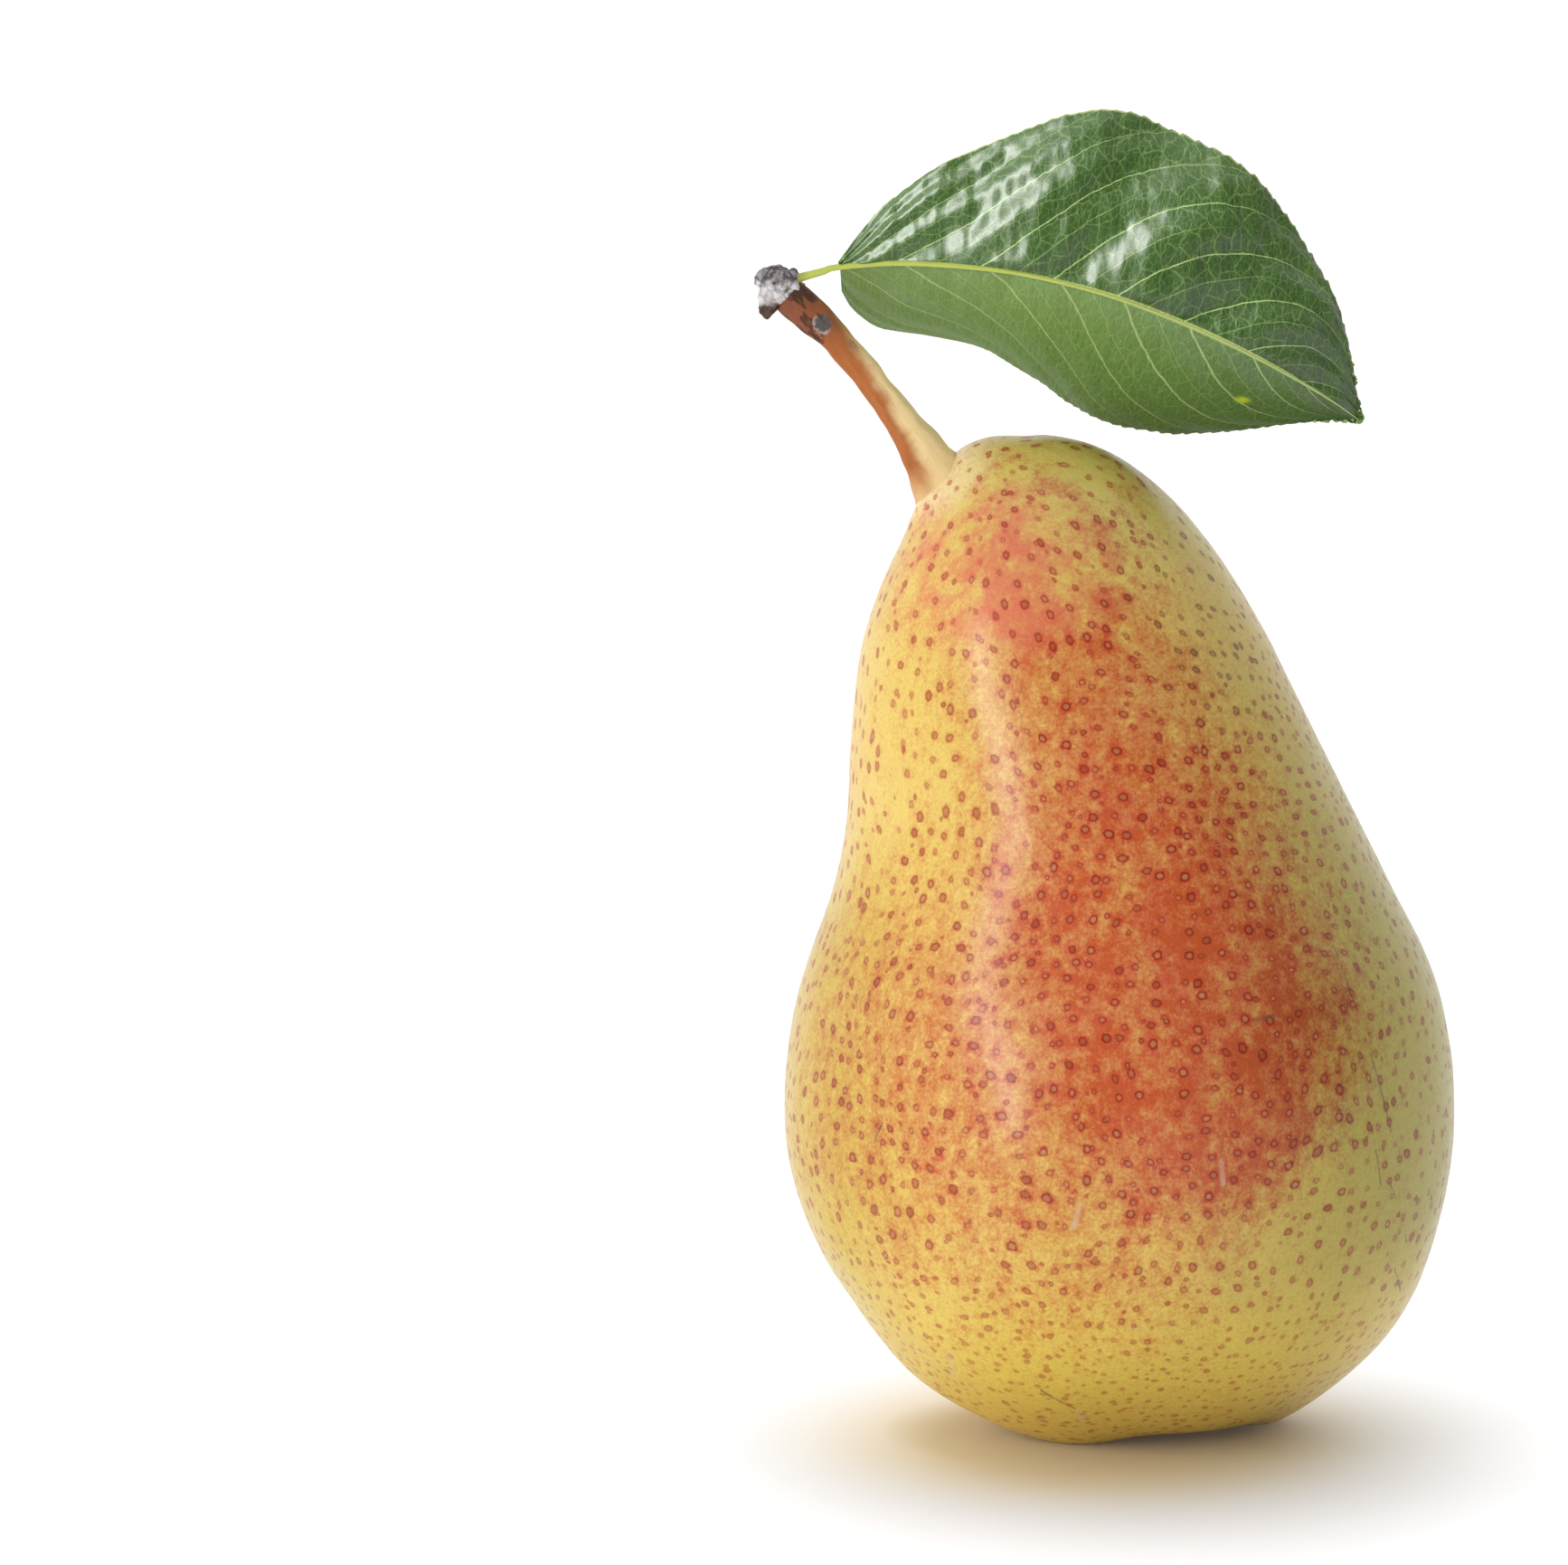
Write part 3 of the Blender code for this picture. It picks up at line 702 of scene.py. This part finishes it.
cracks = wood.soft_step(burnt, 0.40, 0.31) * wood.soft_step(along, 0.6, 0.8)
colour = wood.mix(cracks * (0.5 + fibres * 0.6), colour, (0.030, 0.018, 0.014))
colour = wood.mix(wood.soft_step(fine, 0.62, 0.8) * 0.25, colour, (0.30, 0.13, 0.05))
scar_reach = wood.vector("DISTANCE", place, SCAR, out="Value")
scar_reach = scar_reach + (fine - 0.5) * 0.5 + (blotches - 0.5) * 0.8
below_scar = wood.soft_step(x + z, SCAR[0] + SCAR[2] + 0.5, SCAR[0] + SCAR[2] - 0.9)
scar_rim = wood.soft_step(scar_reach, 1.15, 0.95) * below_scar
scar = wood.soft_step(scar_reach, 0.85, 0.65)
colour = wood.mix(scar_rim * (0.2 + fine * 0.7), colour, SCAR_RIM_BUFF)
colour = wood.mix(scar, colour, wood.mix(fine, SCAR_DARK, SCAR_GREY))
relief = wood.bump(fibres + fine * 0.4 - cracks * 1.5 - scar * 0.5 + scar_rim, 0.12 * MM)
stem.data.materials.append(wood.feed(Base_Color=colour, Roughness=0.5 + fine * 0.25, Normal=relief))
finish_piece(stem, "stem", "stem")

# %% [markdown]
# ## The stub of spur wood
#
# The stem ends in the knob where it grew on the tree: a few lumps of old wood under grey, peeling
# bark. The lumps are squashed spheres joined and remeshed into one skin, which rounds the valleys
# between them, and then roughened at two scales.

# %% Spur mesh
LUMPS = [  # middle and half sizes in millimetres
    ((-32.0, -1.6, 110.5), (1.8, 1.9, 1.9)),
    ((-30.9, -1.5, 111.2), (1.2, 1.5, 1.0)),
    ((-32.8, -1.7, 109.0), (1.0, 1.5, 1.7)),
    ((-33.1, -1.9, 110.9), (0.9, 1.2, 1.3)),
    ((-30.5, -1.5, 109.6), (1.6, 1.75, 1.5)),
    ((-31.5, -2.6, 111.3), (0.9, 0.8, 0.8)),
]
lumps = []
for middle, half in LUMPS:
    bpy.ops.mesh.primitive_ico_sphere_add(subdivisions=4, radius=1.0, location=Vector(middle) * MM,
                                          scale=Vector(half) * MM)
    lumps.append(bpy.context.object)
spur = pick(lumps[0])
for lump in lumps:
    lump.select_set(True)
bpy.ops.object.join()
spur.name = "spur_wood"
bpy.ops.object.transform_apply(location=True, rotation=True, scale=True)
modify(spur, "REMESH", mode="VOXEL", voxel_size=0.13 * MM)
modify(spur, "SMOOTH", factor=0.5, iterations=3)


PLATES_PER_MM = 0.55
PLATE_SHIFT = (0.3, 0.8, 0.1)


def spur_crust(spot):
    point = spot / MM
    plates = noise.voronoi(point * PLATES_PER_MM + Vector(PLATE_SHIFT))[0]
    edge = min(plates[1] - plates[0], 0.3) / 0.3
    return (edge * 0.32 - 0.25 + noise.fractal(point * 0.9, 1.0, 2.0, 4) * 0.22) * MM


push_out(spur, spur_crust)
print("spur lumps:", len(LUMPS))

# %% Spur finish
bark = Finish("spur_bark")
place = bark.place()
flakes = bark.noise(place, 1.25, 4.0, 0.65)
plate_place = bark.vector("ADD", bark.scaled(place, PLATES_PER_MM), PLATE_SHIFT)
cracked = bark.node("ShaderNodeTexVoronoi", {"feature": "DISTANCE_TO_EDGE"},
                    {"Vector": plate_place, "Scale": 1.0}, "Distance")
dust = bark.noise(place, 0.25, 3.0, 0.7)
z = bark.parts(place)[2]
colour = bark.mix(dust, (0.60, 0.57, 0.56), (0.92, 0.91, 0.90))
cap = bark.soft_step(z + (flakes - 0.5) * 2.0, 110.4, 111.3)
colour = bark.mix(cap * (0.3 + dust * 0.9), colour, (0.22, 0.19, 0.21))
colour = bark.mix(bark.soft_step(flakes, 0.50, 0.62) * 0.8, colour, (0.26, 0.22, 0.22))
colour = bark.mix(bark.soft_step(flakes, 0.58, 0.66), colour, (0.09, 0.055, 0.045))
colour = bark.mix(bark.soft_step(z + (flakes - 0.5) * 2.5, 109.0, 108.2), colour, (0.10, 0.055, 0.04))
colour = bark.mix(bark.soft_step(cracked, 0.09, 0.03) * (0.35 + cap * 0.4), colour, (0.03, 0.02, 0.018))
relief = bark.bump(flakes * 1.5 + dust * 0.7, 0.2 * MM)
spur.data.materials.append(bark.feed(Base_Color=colour, Roughness=0.75 + dust * 0.2, Normal=relief))
finish_piece(spur, "spur_bark", "spur_stub")

# %% [markdown]
# ## The leaf
#
# A pear leaf is a thin sheet folded a little along its midrib, so its two halves face different
# ways: the upper half looks up and shines, the lower half looks down and stays dull. A flat grid
# already has the right topology and a map from 0 to 1 both ways, so each of its points is moved
# to where the leaf has it: so far along the midrib, so far out towards the margin, and so far
# back as that half has bent. The same two numbers then place the veins, in the mesh as furrows
# and in the finish as pale lines, and small teeth along the margin.

# %% Leaf shape
MIDRIB = [
    (-25.9, -2.8, 112.3), (-19.7, -3.8, 112.7), (-11.0, -5.0, 112.1), (-4.0, -5.6, 110.7),
    (2.2, -5.6, 108.8), (9.0, -5.0, 106.0), (15.2, -3.6, 102.9), (20.3, -1.6, 99.9), (24.0, 0.8, 97.4),
]
LEAF_WIDTHS = [  # share of the length, width of the upper half, width of the lower half
    (0.0, 0.4, 5.0), (0.02, 2.0, 9.0), (0.06, 4.1, 12.2), (0.12, 7.2, 13.6), (0.2, 11.6, 13.8),
    (0.3, 16.2, 15.4), (0.4, 18.3, 17.3), (0.5, 18.1, 18.0), (0.6, 16.2, 16.2), (0.7, 13.2, 12.5),
    (0.8, 8.7, 7.6), (0.9, 4.0, 3.0), (1.0, 0.2, 0.2),
]
UPPER_BEND = (4.0, 36.0)  # degrees at the midrib and at the margin
LOWER_BEND_AT_BASE, LOWER_BEND_AT_TIP = (38.0, 78.0), (16.0, 56.0)
LEAF_THICKNESS = 0.24 * MM
LEAF_CELLS_LONG, LEAF_CELLS_WIDE = 240, 130
LEAF_CROWDING = 1.25  # crowds the cells towards the rounded base
VEINS = 8.5  # strong side veins on each half
VEIN_SLANT, VEIN_CURVE = 0.27, 0.10  # how far a vein has run along the leaf when it meets the margin
HALVES_APART = 0.12  # the two halves' veins don't quite meet at the midrib
TEETH = 46


def value_at(knots, place, column=1):
    """The smooth value in a column of knots, whose first column is the place."""
    index = max(n for n in range(len(knots) - 1) if knots[n][0] <= place + 1e-9)
    before, after = knots[max(index - 1, 0)], knots[min(index + 2, len(knots) - 1)]
    start, end = knots[index], knots[index + 1]
    span = end[0] - start[0]
    slope_in = (end[column] - before[column]) / (end[0] - before[0]) * span
    slope_out = (after[column] - start[column]) / (after[0] - start[0]) * span
    return bend(start[column], end[column], slope_in, slope_out, (place - start[0]) / span)


def fade(share):
    share = min(max(share, 0.0), 1.0)
    return share * share * (3 - 2 * share)


midrib = [p.xyz * MM for p in smooth_line(MIDRIB, 8)]


def vein_place(along, out, upper):
    """Which side vein passes here: whole numbers lie on strong veins, halves between them."""
    return (along - VEIN_SLANT * out - VEIN_CURVE * out ** 3) * VEINS + upper * HALVES_APART


def leaf_relief(along, out, upper, spot):
    """Furrows over the veins and low quilting between them, in metres."""
    off = abs((vein_place(along, out, upper) + 0.5) % 1.0 - 0.5)
    quilt = fade(off * 2)
    margin = 1 - fade((out - 0.55) / 0.4) * 0.5
    billow = math.sin(math.tau * (along - 0.10 * out) * 4.4 + 0.6) * math.sin(math.pi * along)
    wrinkles = noise.fractal(Vector((spot.x * 480, spot.y * 170, spot.z * 170)), 1.0, 2.0, 3)
    height = quilt * 0.12 + wrinkles * 0.05
    if upper:
        height = quilt * margin * 0.27 + wrinkles * 0.22 + billow * 0.60
    return (height * fade(out / 0.06) - 0.1) * MM  # flat beside the midrib


def leaf_point(along, across):
    place = along * (len(midrib) - 1)
    index = min(int(place), len(midrib) - 2)
    middle = midrib[index].lerp(midrib[index + 1], place - index)
    forward = (midrib[index + 1] - midrib[index]).normalized()
    outward = Vector((0, 1, 0)).cross(forward).normalized() * -1
    upper, out = across > 0, abs(across)
    width = value_at(LEAF_WIDTHS, along, 1 if upper else 2) * MM
    tooth = (along - 0.2 * out) * TEETH % 1.0
    width -= 0.30 * MM * out ** 6 * tooth * fade((along - 0.28) / 0.2)
    share = fade(along)
    lower = [a + (b - a) * share for a, b in zip(LOWER_BEND_AT_BASE, LOWER_BEND_AT_TIP)]
    start, end = [math.radians(a) for a in (UPPER_BEND if upper else lower)]
    turn = max((end - start) * out, 1e-4)
    reach = width * out / turn
    sideways = reach * (math.sin(start + turn) - math.sin(start))
    back = reach * (math.cos(start) - math.cos(start + turn))
    side = 1 if upper else -1
    slope = start + turn
    face = outward * side * math.sin(slope) - Vector((0, 1, 0)) * math.cos(slope)
    wave = 0.5 * MM * out ** 2 * math.sin(2 * math.pi * 3 * along) * math.sin(math.pi * along)
    spot = middle + outward * side * sideways + Vector((0, back + wave, 0))
    return spot + face * leaf_relief(along, out, upper, spot)


# %% Leaf mesh
bpy.ops.mesh.primitive_grid_add(x_subdivisions=LEAF_CELLS_LONG, y_subdivisions=LEAF_CELLS_WIDE, size=2)
leaf = bpy.context.object
leaf.name = "leaf"
leaf.data.uv_layers[0].name = "leaf_map"
for loop in leaf.data.loops:
    spot = leaf.data.vertices[loop.vertex_index].co
    leaf.data.uv_layers[0].data[loop.index].uv = (((spot.x + 1) / 2) ** LEAF_CROWDING, spot.y)
for vertex in leaf.data.vertices:
    vertex.co = leaf_point(((vertex.co.x + 1) / 2) ** LEAF_CROWDING, vertex.co.y)
edit(leaf, lambda: bpy.ops.mesh.normals_make_consistent(inside=False))
leaf_length = sum((b - a).length for a, b in zip(midrib, midrib[1:]))
print("leaf, along its bent midrib:", round(leaf_length / MM, 1), "mm")

# %% [markdown]
# The sheet gets its thickness from Solidify, and its underside a paler, duller finish of its own.
# In the finish, the map's two numbers give the distance to the nearest side vein, and Voronoi
# cells in the same map, scaled to millimetres, draw the fine net between the veins. The wax is
# thick on the upper half and thins out over the lower one, and the lower half is paled towards the base, a
# painted sheen for the white table mirrored in it.

# %% Leaf finish
LEAF_LENGTH, LEAF_HALF_WIDTH = 54.0, 17.0  # millimetres that the map's 1 stands for
front_is_up = sum(f.normal.y * f.area for f in leaf.data.polygons) < 0


def leaf_finish(name, top, deep, painted_sheen, vein_colour, rough, coat):
    green = Finish(name, Coat_Roughness=0.33, Specular_IOR_Level=0.15)
    uv = green.node("ShaderNodeUVMap", {"uv_map": "leaf_map"}, {})
    along, across, _ = green.parts(uv)
    out = across.maths("ABSOLUTE")
    place = green.place()
    grain = green.noise(place, 0.35, 3.0, 0.6)
    sway = green.noise(place, 3.0, 2.0)
    upper = green.soft_step(across, -0.001, 0.001)
    number = vein_place(along, out, upper) + (sway - 0.5) * 0.12
    strong = ((number + 0.5).maths("FRACT") - 0.5).maths("ABSOLUTE")
    weak = (number.maths("FRACT") - 0.5).maths("ABSOLUTE")
    fading = green.soft_step(out, 0.98, 0.55)
    thick = 0.021 + (1 - upper) * 0.013
    veins = green.soft_step(strong / thick, 1.0, 0.33) * (0.35 + fading * 0.65)
    small_veins = green.soft_step(weak, 0.016, 0.005) * green.soft_step(out, 0.75, 0.35) * 0.5
    flat = green.vector("MULTIPLY", uv, (LEAF_LENGTH, LEAF_HALF_WIDTH, 1.0))
    shaken = green.vector("ADD", flat, green.scaled(
        green.node("ShaderNodeTexNoise", {}, {"Vector": place, "Scale": 0.9, "Detail": 2.0}, "Color"), 0.8))
    nets = []
    for cell, width, strength in ((1.5, 0.06, 0.26), (0.6, 0.10, 0.14)):
        squeezed = green.vector("MULTIPLY", shaken, (1.25 / cell, 0.75 / cell, 1.0))
        edge = green.node(
            "ShaderNodeTexVoronoi", {"feature": "DISTANCE_TO_EDGE", "voronoi_dimensions": "2D"},
            {"Vector": squeezed, "Scale": 1.0}, "Distance")
        nets.append(green.soft_step(edge, width, width * 0.25) * strength)
    rib = green.soft_step(out * (1.6 - along), 0.024, 0.010)
    edge_line = green.soft_step(out, 0.985, 0.998)
    net = green.highest(nets + [small_veins, veins])
    colour = green.mix(sway * 0.6 + grain * 0.4, deep, top)
    # painted sheen: the lower half is paled towards its base to stand in for the white table mirrored in it
    colour = green.mix((1 - upper) * green.soft_step(along, 1.1, 0.2) * 0.9, colour, painted_sheen)
    margin = green.soft_step(out, 0.6, 1.0) * green.soft_step(along, 0.35, 0.8)
    colour = green.mix(margin * 0.45, colour, tuple(c * f for c, f in zip(top, (1.25, 1.1, 0.6))))
    colour = green.mix(net * 0.72, colour, vein_colour)
    colour = green.mix(green.highest([rib, edge_line * 0.6]), colour, (0.38, 0.45, 0.11))
    spot = green.soft_step(green.vector("DISTANCE", flat, (39.6, -7.6, 0.0), out="Value"), 1.1, 0.2)
    colour = green.mix(spot * 0.8, colour, (0.42, 0.50, 0.02))
    wrinkles = green.noise(place, 1.2, 3.0, 0.6, stretch=(1.0, 2.4, 2.4))
    streaks = green.noise(place, 0.30, 2.0, 0.6, stretch=(1.0, 3.5, 3.5))
    relief = green.bump(wrinkles + streaks * 0.45 - net * 0.16 + grain * 0.2, 0.24 * MM)
    waxed = (1 - (1 - upper) * green.soft_step(out, 0.1, 0.6) * 0.85) * coat
    roughness = rough + grain * 0.12 + (1 - upper) * 0.2
    return green.feed(Base_Color=colour, Roughness=roughness, Coat_Weight=waxed, Normal=relief)


# the fourth colour of each finish is the painted sheen on the lower half
leaf.data.materials.append(leaf_finish("leaf_top", (0.034, 0.084, 0.010), (0.015, 0.045, 0.004),
                                       (0.135, 0.235, 0.05), (0.34, 0.44, 0.16), 0.38, 1.0))
leaf.data.materials.append(leaf_finish("leaf_underside", (0.20, 0.33, 0.11), (0.15, 0.27, 0.08),
                                       (0.22, 0.35, 0.12), (0.45, 0.56, 0.25), 0.55, 0.0))
modify(leaf, "SOLIDIFY", thickness=LEAF_THICKNESS, offset=-1.0 if front_is_up else 1.0,
       material_offset=1, use_even_offset=False)
finish_piece(leaf, "leaf", "leaf_blade")

# %% [markdown]
# ## Stalk and midrib
#
# The stalk runs on through the leaf as its midrib, thinner and thinner to the tip. One tapering
# tube makes both: it starts in the spur wood and sinks into the blade, so it stands a little
# proud of both faces.

# %% Stalk mesh and finish
STALK = [(-31.0, -1.9, 110.9, 0.55), (-29.4, -2.1, 111.35, 0.42), (-27.6, -2.4, 111.85, 0.36)]
RIB_RADII = (0.30, 0.26, 0.23, 0.20, 0.18, 0.15, 0.12, 0.09, 0.05)
RIB_SINK = 0.12  # how far the rib's middle lies behind the fold, in millimetres
rib_route = [(x, y + RIB_SINK, z, radius) for (x, y, z), radius in zip(MIDRIB, RIB_RADII)]
stalk = tube("leaf_stalk_and_rib", STALK + rib_route, 8, 5)

lime = Finish("leaf_stalk", Coat_Weight=0.1, Subsurface_Weight=0.1, Subsurface_Scale=0.0008)
place = lime.place()
fibres = lime.noise(place, 0.35, 2.0, 0.6, stretch=(8.0, 1.0, 1.0))
x = lime.parts(place)[0]
towards_tip = lime.soft_step(x, -20.0, 22.0)
colour = lime.mix(fibres, (0.40, 0.50, 0.05), (0.58, 0.64, 0.13))
colour = lime.mix(towards_tip, colour, (0.45, 0.57, 0.22))
colour = lime.mix(lime.soft_step(x, -28.6, -29.9) * 0.6, colour, (0.30, 0.26, 0.06))
relief = lime.bump(fibres, 0.05 * MM)
stalk.data.materials.append(lime.feed(Base_Color=colour, Roughness=0.4 + fibres * 0.1, Normal=relief))
finish_piece(stalk, "leaf_stalk", "leaf_stalk")

# %% [markdown]
# ## The calyx
#
# Underneath, in the basin between the lobes, sit the dried remains of the flower: a small cup
# and five withered sepals. The frame's own pieces have the right form, so merged copies are
# subdivided and crumpled. They keep their places, one piece for each.

# %% Calyx
withered = Finish("dried_calyx")
place = withered.place()
crumple = withered.noise(place, 0.5, 4.0, 0.7)
hairs = withered.noise(place, 0.14, 2.0, 0.6, stretch=(1.0, 1.0, 4.0))
colour = withered.mix(crumple, (0.035, 0.020, 0.012), (0.24, 0.14, 0.07))
colour = withered.mix(withered.soft_step(hairs, 0.6, 0.75) * 0.5, colour, (0.42, 0.33, 0.22))
relief = withered.bump(crumple + hairs * 0.6, 0.15 * MM)
dry = withered.feed(Base_Color=colour, Roughness=0.7 + crumple * 0.25, Normal=relief)

CALYX = ["calyx_cup"] + [f"sepal_{n}" for n in range(1, 6)]
for node in CALYX:
    piece = copy_of_frame(node, node + "_dried")
    edit(piece, lambda: bpy.ops.mesh.tris_convert_to_quads(face_threshold=0.7, shape_threshold=1.2))
    subdivide_smoothly(piece, 2)
    push_out(piece, lambda spot: noise.fractal(spot / MM * 1.6, 1.0, 2.0, 3) * 0.12 * MM)
    piece.data.materials.append(dry)
    finish_piece(piece, "dried_calyx", node)

# %% [markdown]
# ## The table and the room
#
# The pear stands on a wide white table in a white room. Lighting a floor until it is pure white
# would burn out the fruit as well, so the floor is kept white by a glow of its own. Round the fruit
# the glow is taken away in a painted shadow, a soft patch shaped and placed like the fruit's shadow,
# so that the real shadow shows there, and under the fruit the paint is warmed, a painted bounce of the
# light that the fruit throws back. A white dome closes the room behind the table. Only the camera sees it,
# so it lights nothing and isn't mirrored in the skin.

# %% Floor
FLOOR_SIZE = 40.0
FLOOR_GAP = 0.02 * MM  # keeps the floor just clear of the fruit's flat spots
FAR_PAPER, FAR_GLOW = (0.36, 0.36, 0.37), (0.74, 0.745, 0.755)  # together they make white
NEAR_PAPER, NEAR_GLOW = (0.74, 0.73, 0.73), (0.03, 0.03, 0.03)  # in the painted shadow patch, where the glow is taken away so the shadow shows
BOUNCE_PAINT = (0.76, 0.66, 0.46)  # painted bounce light: the warm light that the fruit throws back, painted under it
bpy.ops.mesh.primitive_plane_add(size=FLOOR_SIZE, location=(0, 0, -FLOOR_GAP))
floor = bpy.context.object
floor.name = "white_floor"
white = Finish("white_floor", Roughness=0.65, Specular_IOR_Level=0.3, Emission_Strength=1.0)
place = white.place()
# painted shadow: the glow is taken away in a soft patch shaped and placed like the fruit's shadow
painted_shadow = white.blob(place, (2, -12, 0), (48, 52, 9), 1.0, 0.25)
# painted bounce light: a warm patch under the fruit stands in for the light that it throws back
painted_bounce = white.blob(place, (-3, -7, 0), (31, 32, 9), 1.0, 0.4)
paper = white.mix(painted_bounce, white.mix(painted_shadow, FAR_PAPER, NEAR_PAPER), BOUNCE_PAINT)
glow = white.mix(white.highest([painted_shadow, painted_bounce]), FAR_GLOW, NEAR_GLOW)
floor.data.materials.append(white.feed(Base_Color=paper, Emission_Color=glow))
print("floor:", FLOOR_SIZE, "m wide")

# %% Backdrop
DOME_RADIUS = 5.0
bpy.ops.mesh.primitive_uv_sphere_add(segments=48, ring_count=24, radius=DOME_RADIUS, location=(0, 0, 0))
backdrop = bpy.context.object
backdrop.name = "white_backdrop"
for kind in ("diffuse", "glossy", "transmission", "volume_scatter", "shadow"):
    setattr(backdrop, "visible_" + kind, False)
plain_white = Finish("white_backdrop", Base_Color=(0, 0, 0, 1), Specular_IOR_Level=0.0,
                     Emission_Color=(1, 1, 1, 1), Emission_Strength=1.04)
backdrop.data.materials.append(plain_white.material)
print("dome:", DOME_RADIUS, "m in radius")

# %% [markdown]
# ## Light
#
# A pale world lights the fruit from all round, brightest behind it and overhead and a little
# brighter on the left. One tall soft box to the left of the viewer gives the long reflection on
# the neck and the belly. It can't be in the right place for every piece, so the leaf, the belly
# and the stem each have a small soft light as well, linked to that piece alone.

# %% World
DIMMEST, BRIGHTEST = 0.14, 1.04
world = bpy.data.worlds.new("bright_room")
bpy.context.scene.world = world
world.use_nodes = True
tree = world.node_tree
coordinates = tree.nodes.new("ShaderNodeTexCoord")
split = tree.nodes.new("ShaderNodeSeparateXYZ")
tree.links.new(coordinates.outputs["Generated"], split.inputs["Vector"])


def weighted(direction, weight, rest):
    """One direction times its weight, added to the rest."""
    made = tree.nodes.new("ShaderNodeMath")
    made.operation = "MULTIPLY_ADD"
    made.inputs[1].default_value = weight
    tree.links.new(split.outputs[direction], made.inputs[0])
    tree.links.new(rest, made.inputs[2])
    return made.outputs[0]


brightness = weighted("Z", 0.7, split.outputs["Y"])  # brightest behind and overhead
brightness = weighted("X", -0.22, brightness)  # and a little brighter on the left
ramp = tree.nodes.new("ShaderNodeMapRange")
ramp.interpolation_type = "SMOOTHSTEP"
for name, value in (("From Min", -0.35), ("From Max", 0.55), ("To Min", DIMMEST), ("To Max", BRIGHTEST)):
    ramp.inputs[name].default_value = value
tree.links.new(brightness, ramp.inputs["Value"])
background = tree.nodes["Background"]
background.inputs["Color"].default_value = (1.0, 1.0, 1.0, 1.0)
tree.links.new(ramp.outputs["Result"], background.inputs["Strength"])
print("world strength:", DIMMEST, "to", BRIGHTEST)

# %% Lights


def soft_light(name, aim, bearing, elevation, distance, size, power, only=None):
    """A soft box aimed at a spot (in millimetres), which may light one piece only.

    Bearing 0 is the viewer's side, positive to the right; distance and size are in metres.
    """
    aim = Vector(aim) * MM
    b, e = math.radians(bearing), math.radians(elevation)
    way = Vector((math.sin(b) * math.cos(e), -math.cos(b) * math.cos(e), math.sin(e)))
    bpy.ops.object.light_add(type="AREA", location=aim + way * distance)
    lamp = bpy.context.object
    lamp.name = name
    lamp.rotation_euler = (-way).to_track_quat("-Z", "Y").to_euler()
    lamp.data.shape = "RECTANGLE"
    lamp.data.size, lamp.data.size_y = size
    lamp.data.energy = power
    if only:
        lit = bpy.data.collections.new("lit_by_" + name)
        lit.objects.link(only)
        lamp.light_linking.receiver_collection = lit
    print(f"{name}: {power} W")
    return lamp


tall = soft_light("tall_soft_box", (0, 0, 55), -47, 18, 0.8, (0.12, 0.50), 2.65)
tall.rotation_euler.rotate_axis("Z", math.radians(40))
soft_light("leaf_light", (-3, -4, 118), -42, 40, 0.35, (0.13, 0.24), 2.0, only=leaf)
soft_light("belly_light", (-11, -31, 36), -38, 3, 0.5, (0.07, 0.09), 0.24, only=skin)
soft_light("stem_light", (-22, -1, 100), 62, 25, 0.4, (0.15, 0.15), 0.30, only=stem)

# %% [markdown]
# ## Camera
#
# The camera looks from a little above the table with a long lens, which keeps the fruit's sides
# straight, and it keeps the pear to the right of the picture. The lens follows from how far away
# the camera stands and how wide the picture has to be at the pear.

# %% Camera
VIEW_HEIGHT = 7.5  # degrees above the table
VIEW_DISTANCE = 0.6
PICTURE_WIDTH = 0.15078  # metres across the picture at the pear
FILM_WIDTH = 36  # millimetres
AIM = Vector((-31.2, 0, 62.7)) * MM
camera_data = bpy.data.cameras.new("camera")
camera = bpy.data.objects.new("camera", camera_data)
bpy.context.scene.collection.objects.link(camera)
tilt = math.radians(VIEW_HEIGHT)
way = Vector((0, -math.cos(tilt), math.sin(tilt)))
camera.location = AIM + way * VIEW_DISTANCE
camera.rotation_euler = (-way).to_track_quat("-Z", "Y").to_euler()
camera_data.sensor_width = FILM_WIDTH
camera_data.lens = FILM_WIDTH * VIEW_DISTANCE / PICTURE_WIDTH
camera_data.clip_start = 0.01
bpy.context.scene.camera = camera
bpy.context.scene.view_settings.view_transform = "Standard"
print("lens:", round(camera_data.lens), "mm")
